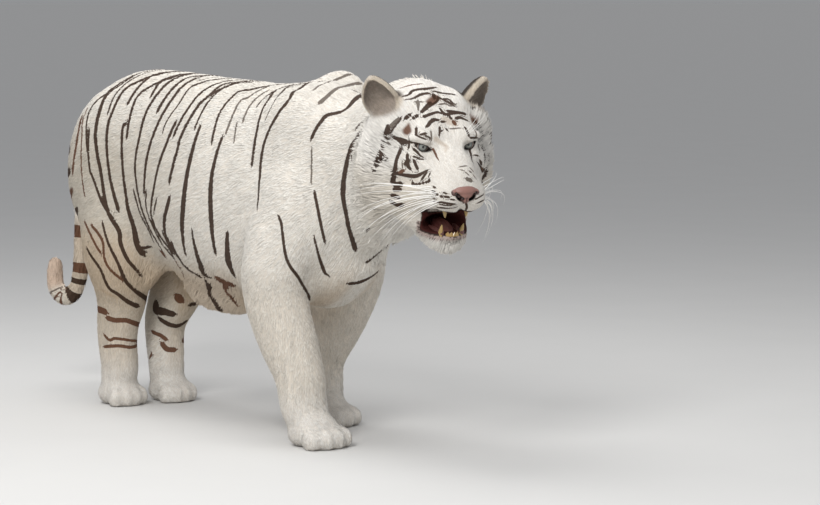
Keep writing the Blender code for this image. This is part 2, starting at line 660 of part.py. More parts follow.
def finish(shop):
    """Bakes the cuts, centres the animal over the origin, and gives each piece its colour and smooth shading."""
    pieces = list(shop.tiger.objects)
    meshes = [evaluated(obj) for obj in pieces]
    for obj, mesh in zip(pieces, meshes):
        obj.modifiers.clear()
        obj.data = mesh
    for obj in list(shop.helpers.objects):
        bpy.data.objects.remove(obj)
    bpy.data.collections.remove(shop.helpers)
    corners = np.array([vert.co for obj in pieces for vert in obj.data.vertices])
    low, high = corners.min(axis=0), corners.max(axis=0)
    shift = Vector((-(low[0] + high[0]) / 2, -(low[1] + high[1]) / 2, -low[2]))
    for obj in pieces:
        obj.data.transform(Matrix.Translation(shift))
        obj.data.shade_smooth()
        material = bpy.data.materials.new(obj.name)
        material.use_nodes = True
        shader = material.node_tree.nodes["Principled BSDF"]
        kind = obj.name.split("_")[0]
        shader.inputs["Base Color"].default_value = COLOURS.get(kind, COAT)
        shader.inputs["Roughness"].default_value = 0.15 if kind == "eye" else 0.7
        obj.data.materials.clear()
        obj.data.materials.append(material)


def clear_scene():
    for obj in list(bpy.data.objects):
        bpy.data.objects.remove(obj)


def main():
    clear_scene()
    shop = Workshop()
    flesh = make_flesh(shop.helpers)
    make_body(shop, flesh)
    make_head(shop, flesh)
    finish(shop)


main()
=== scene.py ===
import json
import math

import bmesh
import bpy
import numpy as np
from mathutils import Matrix, Vector
from mathutils.bvhtree import BVHTree
from mathutils.kdtree import KDTree

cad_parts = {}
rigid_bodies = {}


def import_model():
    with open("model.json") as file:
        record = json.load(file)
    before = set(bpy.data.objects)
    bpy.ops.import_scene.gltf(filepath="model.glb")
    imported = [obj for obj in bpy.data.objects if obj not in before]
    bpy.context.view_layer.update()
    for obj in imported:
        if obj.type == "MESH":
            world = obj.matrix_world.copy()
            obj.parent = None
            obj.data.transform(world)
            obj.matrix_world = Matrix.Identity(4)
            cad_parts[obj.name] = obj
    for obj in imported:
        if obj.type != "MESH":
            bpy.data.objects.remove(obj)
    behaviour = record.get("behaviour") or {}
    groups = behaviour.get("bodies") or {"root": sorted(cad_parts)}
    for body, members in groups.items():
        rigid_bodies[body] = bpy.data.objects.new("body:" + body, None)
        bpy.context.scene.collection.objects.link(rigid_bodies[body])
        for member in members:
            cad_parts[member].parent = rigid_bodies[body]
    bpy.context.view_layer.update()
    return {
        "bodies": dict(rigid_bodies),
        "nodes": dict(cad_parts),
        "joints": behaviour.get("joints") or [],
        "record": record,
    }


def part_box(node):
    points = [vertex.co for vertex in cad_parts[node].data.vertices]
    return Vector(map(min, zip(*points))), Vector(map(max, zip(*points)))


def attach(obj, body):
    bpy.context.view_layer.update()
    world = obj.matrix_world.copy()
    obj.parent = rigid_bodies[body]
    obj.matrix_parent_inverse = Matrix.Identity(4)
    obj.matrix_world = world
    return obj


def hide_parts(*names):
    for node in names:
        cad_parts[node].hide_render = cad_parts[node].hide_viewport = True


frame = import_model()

# ---- Driving dimensions ----------------------------------------------------------------------
FLOOR = 0.006  # up from here the paws are kept, so that they stand on small flats
SKIN_VOXEL = 0.007  # of the Remesh that fuses the flesh
HEAD_VOXEL = 0.0028  # of the one that fuses the head's skin
EYE_RADIUS = 0.0185
# The ears' middles on the head's own axes; the right one is carried a little higher
EAR = {"right": (-0.118, -0.110, 0.073), "left": (-0.118, 0.116, 0.061)}

# Where the feet stand: the middle of each pad, (x, y)
FOREFOOT = {"right": (0.530, -0.125), "left": (0.258, 0.118)}
HINDFOOT = {"right": (-0.418, -0.095), "left": (-0.385, 0.050)}
SIDE = {"right": -1.0, "left": 1.0}

# The head's own axes: x to the nose, y to its left, z up, from the point between the eyes
HEAD_SCALE = 1.12
EYE_LINE = Vector((0.985, -0.065, 0.785))
HEAD_YAW, HEAD_PITCH, HEAD_ROLL = -13.0, 16.0, 1.5
HEAD = (
    Matrix.Translation(EYE_LINE)
    @ Matrix.Rotation(math.radians(HEAD_YAW), 4, "Z")
    @ Matrix.Rotation(math.radians(HEAD_PITCH), 4, "Y")
    @ Matrix.Rotation(math.radians(HEAD_ROLL), 4, "X")
    @ Matrix.Scale(HEAD_SCALE, 4)
)
HEAD_CUT = -0.180  # where the head meets the neck, on the head's own x
EYE = Vector((-0.0110, 0.0540, -0.0010))  # the left one, on the head's own axes

# The trunk from rump to chest: (x, top, bottom, half width, height of the widest point)
TRUNK = [
    (-0.655, 0.735, 0.600, 0.060, 0.67),
    (-0.610, 0.815, 0.500, 0.125, 0.67),
    (-0.520, 0.900, 0.450, 0.160, 0.68),
    (-0.400, 0.942, 0.425, 0.168, 0.67),
    (-0.250, 0.944, 0.395, 0.165, 0.65),
    (-0.080, 0.934, 0.350, 0.182, 0.61),
    (0.120, 0.924, 0.332, 0.200, 0.59),
    (0.300, 0.922, 0.340, 0.192, 0.59),
    (0.450, 0.925, 0.348, 0.165, 0.60),
    (0.550, 0.905, 0.385, 0.130, 0.61),
    (0.605, 0.850, 0.455, 0.090, 0.63),
    (0.632, 0.770, 0.560, 0.045, 0.66),
]

# The skull and muzzle on the head's own axes: the same five columns
SKULL = [
    (-0.205, 0.045, -0.110, 0.080, -0.030),
    (-0.160, 0.076, -0.155, 0.110, -0.040),
    (-0.115, 0.090, -0.165, 0.120, -0.040),
    (-0.070, 0.081, -0.155, 0.118, -0.042),
    (-0.032, 0.056, -0.145, 0.106, -0.048),
    (0.000, 0.022, -0.136, 0.092, -0.056),
    (0.030, -0.002, -0.126, 0.076, -0.068),
    (0.060, -0.022, -0.119, 0.064, -0.078),
    (0.088, -0.038, -0.113, 0.056, -0.082),
    (0.106, -0.050, -0.106, 0.042, -0.078),
    (0.117, -0.062, -0.092, 0.022, -0.076),
]

# The mouth: the space between the lips, which widens to cut right through them ahead of the corners
MOUTH = [
    (-0.030, -0.164, -0.174, 0.014, -0.170),
    (0.000, -0.155, -0.178, 0.032, -0.169),
    (0.022, -0.143, -0.181, 0.048, -0.168),
    (0.044, -0.127, -0.183, 0.080, -0.165),
    (0.075, -0.113, -0.184, 0.095, -0.158),
    (0.170, -0.105, -0.188, 0.100, -0.150),
]

# The tail from its root to its tip: (x, y, z, half width, reach to the front, reach to the back)
TAIL = [
    (-0.580, 0.000, 0.812, 0.052, 0.050, 0.055),
    (-0.650, 0.000, 0.783, 0.046, 0.046, 0.048),
    (-0.710, 0.000, 0.702, 0.038, 0.038, 0.038),
    (-0.735, -0.002, 0.570, 0.031, 0.031, 0.031),
    (-0.738, -0.006, 0.440, 0.029, 0.029, 0.029),
    (-0.740, -0.012, 0.345, 0.029, 0.029, 0.029),
    (-0.755, -0.024, 0.283, 0.028, 0.028, 0.028),
    (-0.785, -0.043, 0.270, 0.029, 0.029, 0.029),
    (-0.8073, -0.054, 0.302, 0.030, 0.030, 0.030),
    (-0.8075, -0.055, 0.345, 0.030, 0.030, 0.030),
    (-0.8060, -0.054, 0.380, 0.025, 0.025, 0.025),
    (-0.8050, -0.053, 0.394, 0.010, 0.010, 0.010),
]

# The stripes, in mm: (copied to the other side, ink, half widths along the stroke, points)
BODY_MARKS = [
    (True, 1, (4.2,), [(-523, -144, 804), (-517, -159, 766), (-519, -166, 721), (-536, -166, 653)]),
    (True, 1, (2,), [(-504, -136, 830), (-504, -150, 799), (-489, -163, 758), (-483, -170, 717),
     (-475, -173, 634), (-461, -176, 593)]),
    (True, 0, (2.5,), [(-462, -126, 859), (-479, -141, 831), (-478, -153, 800), (-451, -171, 716)]),
    (True, 0, (2.8,), [(-454, -163, 771), (-438, -172, 672), (-422, -174, 645), (-369, -180, 587),
     (-308, -177, 535)]),
    (True, 0, (3.6, 3.7, 4, 4.4, 4.4, 4, 3.7, 3.1, 2.5), [(-423, -92, 898), (-434, -105, 884),
     (-430, -140, 832), (-414, -165, 736), (-347, -179, 580), (-288, -171, 506), (-282, -169, 473),
     (-274, -152, 426), (-278, -113, 387)]),
    (True, 0, (2.2,), [(-370, -80, 913), (-391, -111, 879), (-390, -141, 825)]),
    (True, 0, (3.6,), [(-324, -81, 912), (-354, -98, 897), (-365, -112, 877), (-371, -137, 831),
     (-373, -155, 773), (-345, -167, 656), (-297, -168, 563)]),
    (True, 0, (3.6,), [(-269, -45, 933), (-291, -57, 929), (-306, -101, 890), (-313, -123, 854)]),
    (True, 0, (3.3,), [(-261, -96, 893), (-278, -105, 882), (-286, -123, 852), (-278, -153, 763)]),
    (True, 0, (3.3, 3.4, 3.6, 4.1, 4.6, 5.2, 5.5), [(-296, -145, 795), (-305, -148, 787), (-294, -159, 727),
     (-265, -160, 578), (-247, -148, 518), (-250, -134, 470), (-248, -119, 448)]),
    (True, 0, (2.7,), [(-250, -134, 470), (-243, -123, 460), (-206, -124, 462)]),
    (True, 0, (3.3,), [(-187, -35, 933), (-197, -57, 925), (-222, -77, 913), (-222, -108, 877)]),
    (True, 0, (4.1, 3.9, 3.8, 3.7, 3.4, 3.3, 3, 2.7), [(-187, -77, 911), (-200, -111, 871),
     (-213, -132, 830), (-215, -151, 773), (-222, -164, 689), (-216, -167, 652), (-189, -161, 558),
     (-134, -140, 462)]),
    (True, 0, (2.4,), [(-229, -165, 613), (-204, -157, 548), (-180, -152, 514), (-171, -141, 479)]),
    (True, 0, (4.1,), [(-119, -25, 932), (-136, -47, 926), (-141, -73, 912), (-150, -111, 872),
     (-158, -130, 838)]),
    (True, 0, (3.8,), [(-109, -81, 905), (-115, -114, 868), (-136, -146, 803), (-160, -167, 711),
     (-169, -171, 616)]),
    (True, 0, (2.4,), [(-156, -172, 617), (-163, -170, 587), (-159, -165, 557), (-123, -153, 488),
     (-98, -150, 465)]),
    (True, 0, (3.8, 3.4, 2.7, 2, 1.6), [(-59, -70, 910), (-71, -82, 903), (-72, -120, 858),
     (-96, -144, 810), (-100, -154, 783)]),
    (True, 0, (4, 3.8, 3.5, 3.3, 3.1, 3, 2.9, 2.8, 2.7), [(-51, -148, 806), (-67, -165, 755),
     (-90, -174, 698), (-115, -177, 622), (-137, -170, 564), (-133, -166, 537), (-117, -162, 508),
     (-75, -154, 464), (-73, -143, 442)]),
    (True, 0, (2.4,), [(-98, -179, 599), (-118, -173, 565)]),
    (True, 2, (2.2,), [(-46, 0, 930), (-55, -33, 927), (-72, -51, 921)]),
    (True, 0, (3.5,), [(20, -57, 915), (-4, -96, 889), (-11, -117, 865), (-39, -160, 776)]),
    (True, 0, (4.2,), [(34, -113, 871), (16, -142, 828), (-3, -165, 766), (-5, -174, 734),
     (-26, -184, 654)]),
    (True, 0, (3.4,), [(117, -25, 919), (54, -50, 916), (43, -99, 885)]),
    (True, 0, (2.6,), [(61, -112, 872), (55, -156, 800)]),
    (True, 0, (3.7, 5, 7.1, 6.2, 3.2), [(77, -157, 800), (70, -183, 719), (52, -194, 597), (36, -188, 535),
     (16, -163, 459)]),
    (True, 0, (4.8,), [(-25, -187, 606), (-71, -172, 522), (-53, -156, 463)]),
    (True, 0, (2.7,), [(-84, -167, 506), (-60, -151, 454)]),
    (True, 0, (2.9,), [(218, -41, 911), (190, -65, 903), (156, -79, 898), (147, -98, 883), (140, -135, 841),
     (153, -171, 766)]),
    (True, 0, (3.1, 4.5, 5.5, 5.7, 3.4), [(190, -166, 775), (181, -188, 695), (180, -196, 638),
     (183, -196, 568), (177, -179, 476)]),
    (True, 2, (2.6,), [(230, -43, 910), (213, -95, 885), (193, -105, 874), (200, -143, 825),
     (200, -159, 791)]),
    (True, 2, (2.3,), [(258, -67, 901), (246, -112, 867), (252, -142, 824)]),
    (True, 2, (1.8,), [(232, -147, 815), (244, -165, 772)]),
    (True, 0, (3.1,), [(293, -68, 901), (309, -100, 881), (314, -122, 859), (326, -149, 808),
     (334, -173, 715)]),
    (True, 0, (1.8,), [(286, -77, 895), (278, -114, 864)]),
    (True, 0, (3.1, 2.6, 1.5), [(319, -51, 909), (370, -129, 876), (358, -148, 832)]),
    (True, 0, (3.6, 3.6, 3.5, 3.5, 3.4, 2.9, 2.5), [(326, 23, 924), (439, -119, 900), (450, -144, 878),
     (431, -155, 853), (371, -161, 769), (377, -182, 671), (402, -207, 607)]),
    (True, 2, (2.1,), [(399, 29, 927), (420, -16, 918), (458, -67, 907)]),
    (True, 2, (3.6,), [(448, 93, 922), (455, 54, 918), (480, 3, 914), (533, -100, 879)]),
    (True, 2, (3.9,), [(407, 88, 944), (404, 45, 929)]),
    (True, 0, (4.3, 4.1, 3.8, 3.4, 3.1, 2.5), [(540, 30, 894), (578, -27, 884), (601, -72, 863),
     (573, -107, 848), (569, -129, 829), (555, -148, 789)]),
    (True, 2, (1.5,), [(557, -150, 761), (566, -157, 679)]),
    (True, 0, (2.3,), [(578, -154, 652), (589, -147, 590), (581, -124, 528)]),
    (True, 0, (2.2,), [(777, -144, 841), (744, -139, 832), (720, -138, 817)]),
    (True, 0, (2.4, 3.9, 5.4, 5.9, 4.3, 4), [(763, -147, 816), (716, -145, 779), (705, -146, 760),
     (669, -137, 661), (658, -118, 598), (618, -57, 507)]),
    (True, 0, (2.2, 1.2), [(718, -147, 768), (716, -148, 745)]),
    (False, 0, (1.5, 3, 1.8), [(571, -150, 539), (543, -101, 453), (545, -87, 437)]),
    (False, 0, (2.5, 2), [(608, -5, 472), (620, 25, 495)]),
    (False, 0, (3, 3.5, 2), [(569, -35, 415), (579, -4, 418), (585, 43, 441)]),
    (False, 0, (3.7, 3), [(718, -94, 573), (703, -85, 559)]),
    (True, 0, (2.3, 2.3, 2.3, 2.3, 2.5, 3.6), [(502, -211, 590), (512, -210, 568), (520, -203, 499),
     (524, -188, 464), (519, -156, 432), (485, -96, 374)]),
    (True, 0, (2.4,), [(-145, -164, 539), (-129, -158, 503), (-94, -146, 457), (-73, -143, 442)]),
    (True, 0, (4,), [(-46, -164, 482), (-43, -155, 457), (-22, -134, 416), (28, -125, 395)]),
    (True, 1, (2.2,), [(-72, -132, 427), (-76, -112, 400), (-96, -90, 383)]),
    (True, 1, (6.8,), [(-141, -130, 448), (-138, -130, 445)]),
    (True, 0, (2.6, 6.6, 7.3, 7, 4.8, 2.1), [(88, -191, 528), (81, -167, 452), (77, -156, 430),
     (65, -144, 415), (74, -136, 402), (94, -135, 399)]),
    (True, 0, (3.9, 7.3, 3.9), [(245, -189, 529), (222, -169, 454), (218, -149, 417)]),
    (True, 1, (6.6,), [(128, -136, 398), (177, -126, 387)]),
    (True, 1, (5.8, 5.4, 4), [(137, -119, 379), (111, -93, 358), (105, -56, 323)]),
    (True, 0, (5.3, 6.6, 7.5, 6.7, 5.4), [(48, -118, 383), (30, -97, 364), (20, -84, 342), (22, -60, 309),
     (-6, -34, 294)]),
    (True, 1, (2.5,), [(-438, -189, 519), (-392, -201, 490), (-339, -200, 443)]),
    (True, 1, (2.7,), [(-389, -197, 513), (-350, -199, 492), (-329, -196, 466), (-325, -195, 430),
     (-315, -187, 403), (-295, -155, 372)]),
    (True, 0, (2.2, 2.6, 2.9, 3.1, 3.4, 3.6, 3.9, 4.2), [(-342, -191, 523), (-314, -190, 472),
     (-290, -174, 420), (-289, -162, 395), (-291, -146, 366), (-296, -121, 345), (-308, -91, 323),
     (-341, -53, 298)]),
    (True, 0, (2.8, 3.2, 3.7, 3.8, 4.2), [(-403, -203, 447), (-347, -199, 398), (-339, -172, 345),
     (-321, -148, 325), (-319, -99, 294)]),
    (True, 3, (3.3,), [(-379, -176, 336), (-328, -150, 317)]),
    (True, 1, (5.6,), [(-453, -140, 275), (-414, -154, 273), (-390, -153, 270)]),
    (True, 1, (4.2,), [(-383, -148, 253), (-361, -137, 249), (-343, -113, 251), (-349, -80, 237),
     (-369, -59, 228)]),
    (True, 1, (2.5,), [(-401, -150, 202), (-384, -141, 191), (-371, -132, 197), (-359, -103, 193),
     (-384, -55, 179)]),
    (True, 1, (2.8,), [(-404, -149, 171), (-366, -124, 176), (-359, -95, 171), (-375, -63, 174)]),
    (False, 0, (8.4, 7.5, 6.5, 5.6), [(-353, -45, 295), (-372, -1, 269), (-338, 5, 263), (-315, 20, 257)]),
    (False, 0, (4.2,), [(-354, 6, 239), (-332, 31, 222), (-325, 53, 221), (-321, 74, 232)]),
    (False, 1, (7,), [(-290, 24, 305), (-287, 28, 300)]),
    (False, 1, (3.4,), [(-389, 2, 202), (-363, 11, 194), (-352, 22, 184)]),
    (False, 1, (2.8,), [(-385, -52, 155), (-409, 4, 127)]),
    (False, 1, (4.2,), [(-357, 14, 169), (-349, 24, 156), (-341, 45, 153)]),
    (True, 0, (7, 9, 5), [(-585, -155, 715), (-635, -115, 700), (-655, -75, 690)]),
    (True, 0, (6, 9, 9, 5), [(-570, -168, 655), (-622, -130, 635), (-645, -95, 625), (-650, -60, 620)]),
    (True, 1, (5, 9, 9, 5), [(-550, -168, 600), (-600, -130, 580), (-628, -90, 570), (-630, -60, 565)]),
    (True, 0, (5, 9, 9, 5), [(-530, -170, 545), (-580, -130, 525), (-615, -90, 520), (-610, -50, 515)]),
    (True, 1, (5, 8, 8, 5), [(-510, -170, 485), (-560, -130, 470), (-590, -90, 465), (-570, -50, 460)]),
    (True, 0, (5, 8, 8, 5), [(-480, -170, 430), (-515, -130, 415), (-505, -90, 410), (-470, -60, 410)]),
]
# Those of the head: (ink, half widths, points on the head's own axes)
HEAD_MARKS = [
    (0, (1.3, 1.7, 1.7), [(121, 0, -85), (113, 6, -99), (81, 25, -125)]),
    (2, (1.1, 1.5), [(78, 25, -26), (79, 31, -33)]),
    (2, (1.2,), [(90, 7, -30), (93, 13, -35)]),
    (2, (1.5, 1.1), [(88, 30, -40), (89, 35, -46)]),
    (2, (1,), [(85, -3, -26), (87, 2, -26)]),
    (0, (1.5,), [(74, -59, -65), (79, -58, -65)]),
    (0, (1.4,), [(102, -47, -69), (107, -44, -69)]),
    (0, (1.3,), [(117, -35, -80), (119, -28, -81)]),
    (0, (1.2,), [(102, -54, -96), (118, -34, -94)]),
    (0, (1.1,), [(119, 23, -82), (108, 47, -76)]),
    (0, (0.8, 1.3, 0.9), [(120, 29, -92), (117, 39, -89), (101, 56, -89)]),
    (1, (1.5,), [(-140, -54, 89), (-139, -38, 93), (-129, -10, 99)]),
    (0, (1.5, 2.1, 2.5, 2.5, 1.5), [(-94, -67, 84), (-95, -53, 88), (-113, -33, 90), (-109, -4, 94),
     (-113, 20, 95)]),
    (0, (1.1, 1.7, 2.8, 2.8), [(-82, -66, 81), (-80, -50, 83), (-94, -25, 87), (-96, -8, 88)]),
    (0, (2.2, 1.7), [(-100, 12, 90), (-87, 53, 86)]),
    (1, (6.9,), [(-80, 6, 84), (-66, -13, 78)]),
    (0, (2,), [(-81, 11, 84), (-67, 2, 79), (-54, -24, 70)]),
    (0, (4.3, 2.6), [(-62, -15, 75), (-48, -41, 63)]),
    (0, (3, 2.6), [(-89, 4, 87), (-78, 1, 83)]),
    (0, (2.6, 1.7), [(-80, 12, 83), (-56, 40, 70)]),
    (0, (1.7,), [(-76, 24, 81), (-74, 33, 80), (-62, 40, 74)]),
    (2, (3, 1.5), [(-71, -41, 79), (-53, -48, 66)]),
    (2, (1.7,), [(-70, -47, 79), (-70, -33, 78)]),
    (0, (2.6, 2.1, 1.7), [(-38, -39, 55), (-41, -9, 62), (-38, 1, 60)]),
    (0, (1.7, 2.8, 2.8), [(-48, 2, 68), (-37, 8, 59), (-36, 19, 58)]),
    (0, (2.6, 2.2), [(-43, 20, 63), (-46, 63, 53)]),
    (0, (2.1, 1.7), [(-36, 11, 58), (-42, 43, 57)]),
    (2, (1.7,), [(-59, 7, 74), (-61, 20, 74), (-56, 30, 70), (-60, 43, 72)]),
    (0, (2.4, 2.7, 1.9), [(-30, 35, 50), (-34, 46, 50), (-35, 64, 42)]),
    (0, (2.4, 3.1, 1.9), [(-16, -42, 40), (-27, -24, 49), (-26, -11, 50)]),
    (0, (2.8,), [(-50, -77, 49), (-50, -70, 55)]),
    (0, (2.6,), [(-43, -62, 51), (-43, -55, 55)]),
    (1, (2.1, 6.8), [(-38, -75, 39), (-29, -82, 28)]),
    (0, (2.1,), [(-21, -65, 35), (-6, -71, 25)]),
    (0, (2.1,), [(0, -62, 28), (1, -53, 30)]),
    (0, (1.7, 1.3), [(-3, -70, 23), (11, -56, 20)]),
    (0, (1.5,), [(5, -54, 26), (10, -45, 22)]),
    (2, (1.3,), [(-2, -38, 33), (14, -43, 18)]),
    (0, (1.9, 1.5), [(-13, -12, 36), (2, -19, 24)]),
    (0, (1.4,), [(-6, -14, 30), (-8, -9, 31)]),
    (3, (5.4,), [(-27, 5, 50), (-19, 24, 43)]),
    (0, (2.2,), [(-31, 19, 53), (-29, 21, 51)]),
    (1, (3,), [(-22, 25, 45), (-19, 26, 42)]),
    (2, (1.3,), [(-10, 13, 34), (-7, 33, 36)]),
    (0, (1.5,), [(-10, 3, 33), (-9, 4, 32)]),
    (0, (1.9,), [(-23, -4, 46), (-23, 1, 46)]),
    (3, (4.7, 3.3, 2.1), [(11, -29, 19), (24, -12, 8), (37, -19, 1)]),
    (0, (1.8,), [(-8, 46, 36), (10, 48, 23)]),
    (2, (1.4,), [(-22, 74, 30), (3, 69, 18)]),
    (0, (1.7, 1.3), [(11, 53, 18), (3, 72, 14)]),
    (0, (1.8,), [(-40, 86, 36), (-33, 101, 19), (-33, 111, 6), (-27, 117, -23)]),
    (0, (3,), [(16, 80, -36), (16, 84, -40)]),
    (1, (2.4,), [(16, 86, -52), (10, 92, -59)]),
    (0, (1.5,), [(15, 64, -20), (12, 75, -23)]),
    (2, (1.5,), [(-11, 86, -8), (-3, 85, -15)]),
    (0, (1.9, 1.8, 1.6, 1.3), [(5, 56, -11), (15, 55, -17), (42, 45, -20), (50, 45, -26)]),
    (0, (1.7, 1.9, 4.3, 3), [(3, -64, 6), (-3, -76, 8), (-24, -92, 5), (-34, -109, 11)]),
    (0, (1.5, 1.9), [(-17, -81, 17), (-11, -84, -4)]),
    (1, (1.9, 1.1), [(13, -38, -3), (45, -39, -15)]),
    (0, (2.1, 1.5), [(-2, -75, -6), (14, -60, -18)]),
    (0, (1.6,), [(7, -78, -19), (12, -71, -20)]),
    (0, (1.3,), [(15, -70, -22), (20, -62, -20)]),
    (0, (2.8, 2.8, 3.1, 4.1), [(-23, -94, 1), (-16, -108, -33), (-14, -110, -50), (-19, -110, -84)]),
    (0, (2.3, 2.8, 1.9), [(-3, -89, -18), (9, -91, -38), (14, -87, -45)]),
    (0, (2.2,), [(12, -79, -27), (23, -75, -41)]),
    (2, (1.3,), [(-2, -100, -36), (1, -100, -45)]),
    (0, (2.1, 2.5, 3, 1.5), [(-18, -114, -69), (-10, -107, -63), (24, -80, -58), (42, -61, -39)]),
    (0, (1.8,), [(39, -70, -60), (43, -63, -45)]),
    (0, (1.3,), [(51, -61, -49), (50, -58, -44)]),
    (0, (2.3, 2.2, 2, 1.7), [(23, -83, -73), (27, -81, -76), (55, -63, -60), (55, -62, -55)]),
    (0, (4.7, 4.3), [(-13, -105, -92), (-3, -99, -85)]),
    (0, (3, 2.6), [(-17, -107, -102), (-1, -99, -96)]),
    (0, (3.3,), [(-19, -109, -116), (-3, -101, -115)]),
    (0, (3.4, 3.9, 3), [(-19, -108, -133), (-10, -97, -137), (2, -92, -130)]),
    (0, (4.9, 6.4, 4.3), [(-49, -116, 30), (-39, -130, -13), (-46, -148, -63)]),
    (2, (3, 3.4), [(-48, -115, 30), (-52, -91, 47)]),
    (0, (2,), [(78, -62, -73), (93, -58, -76)]),
    (0, (1.9,), [(102, -53, -77), (104, -52, -77)]),
    (0, (1.8,), [(109, -46, -76), (113, -40, -76)]),
    (2, (1.7,), [(85, -62, -87), (88, -60, -87)]),
    (0, (1.1, 1.7, 1.7, 1.1), [(83, -62, -95), (106, -52, -90), (117, -37, -90), (119, -25, -91)]),
    (0, (1.3, 1.7, 1.3, 0.8), [(91, -53, -107), (105, -48, -104), (115, -36, -102), (116, -19, -100)]),
    (2, (3.2,), [(101, 8, -42), (101, 16, -45)]),
    (2, (1.1,), [(79, -1, -21), (76, 15, -21)]),
    (2, (1.7,), [(86, 20, -30), (86, 22, -32)]),
]


def smooth_path(stations, steps):
    """A Catmull-Rom spline through rows of numbers, with this many rows for each gap between them."""
    rows = np.array(stations, float)
    padded = np.vstack([2 * rows[0] - rows[1], rows, 2 * rows[-1] - rows[-2]])
    out = []
    for a, b, c, d in zip(padded, padded[1:], padded[2:], padded[3:]):
        for t in np.arange(steps) / steps:
            bend = 2 * a - 5 * b + 4 * c - d + t * (3 * (b - c) + d - a)
            out.append(b + 0.5 * t * (c - a + t * bend))
    out.append(rows[-1])
    return np.array(out)


def add_rings(bm, rings):
    """Closed rings of equal length joined into a tube, with a cap over each end."""
    verts = [[bm.verts.new(point) for point in ring] for ring in rings]
    count = len(rings[0])
    for low, high in zip(verts, verts[1:]):
        for i in range(count):
            j = (i + 1) % count
            bm.faces.new((low[i], low[j], high[j], high[i]))
    bm.faces.new(reversed(verts[0]))
    bm.faces.new(verts[-1])


def add_barrel(bm, stations, frame=None, square=0.9, steps=5, count=32):
    """A loft along x through rows of (x, top, bottom, half width, height of the widest point)."""
    rings = []
    for x, top, bottom, half, widest in smooth_path(stations, steps):
        ring = []
        for k in range(count):
            c = math.cos(2 * math.pi * k / count)
            s = math.sin(2 * math.pi * k / count)
            reach = top - widest if s > 0 else widest - bottom
            wide = math.copysign(abs(c) ** square, c)
            point = Vector((x, -half * wide, widest + reach * s))
            ring.append(frame @ point if frame else point)
        rings.append(ring)
    add_rings(bm, rings)


def add_limb(bm, stations, steps=5, count=24):
    """A tube through rows of (x, y, z, half width, reach to the front, reach to the back)."""
    rows = smooth_path(stations, steps)
    rings = []
    for i, row in enumerate(rows):
        tangent = rows[min(i + 1, len(rows) - 1), :3] - rows[max(i - 1, 0), :3]
        tangent /= np.linalg.norm(tangent)
        side = np.array((0.0, 1.0, 0.0))
        side -= side.dot(tangent) * tangent
        side /= np.linalg.norm(side)
        front = np.cross(tangent, side)
        ring = []
        for k in range(count):
            c = math.cos(2 * math.pi * k / count)
            s = math.sin(2 * math.pi * k / count)
            ring.append(row[:3] + side * row[3] * c - front * s * (row[4] if s < 0 else row[5]))
        rings.append(ring)
    add_rings(bm, rings)


def add_muscle(bm, centre, radii, turn=(0, 0, 0), frame=None, subdivisions=3):
    """An ellipsoid turned by degrees about X, then Y, then Z."""
    turned = Matrix.Identity(4)
    for degrees, axis in zip(turn, "XYZ"):
        turned = Matrix.Rotation(math.radians(degrees), 4, axis) @ turned
    matrix = Matrix.Translation(centre) @ turned @ Matrix.Diagonal((*radii, 1))
    if frame:
        matrix = frame @ matrix
    bmesh.ops.create_icosphere(bm, subdivisions=subdivisions, radius=1, matrix=matrix)


def opened(*meshes):
    """A bmesh that holds these meshes."""
    bm = bmesh.new()
    for mesh in meshes:
        bm.from_mesh(mesh)
    return bm


def new_object(name, bm, collection):
    bmesh.ops.recalc_face_normals(bm, faces=bm.faces)
    mesh = bpy.data.meshes.new(name)
    bm.to_mesh(mesh)
    bm.free()
    obj = bpy.data.objects.new(name, mesh)
    collection.objects.link(obj)
    return obj


def add_trunk(bm):
    add_barrel(bm, TRUNK)
    # The loose fold under the belly, the breastbone and the fold between the forelegs
    add_muscle(bm, (0.000, 0, 0.360), (0.200, 0.090, 0.075))
    add_muscle(bm, (0.500, 0, 0.500), (0.088, 0.095, 0.135))
    add_muscle(bm, (0.420, 0, 0.395), (0.120, 0.075, 0.062))


def add_neck(bm):
    nape = HEAD @ Vector((-0.150, 0, -0.030))
    add_limb(
        bm,
        [
            (0.400, 0.000, 0.690, 0.120, 0.200, 0.215),
            (0.560, -0.004, 0.700, 0.132, 0.190, 0.205),
            (0.690, -0.014, 0.715, 0.132, 0.180, 0.185),
            (nape.x, nape.y, nape.z, 0.130, 0.155, 0.150),
            (nape.x + 0.06, nape.y - 0.014, nape.z - 0.010, 0.105, 0.120, 0.120),
        ],
    )


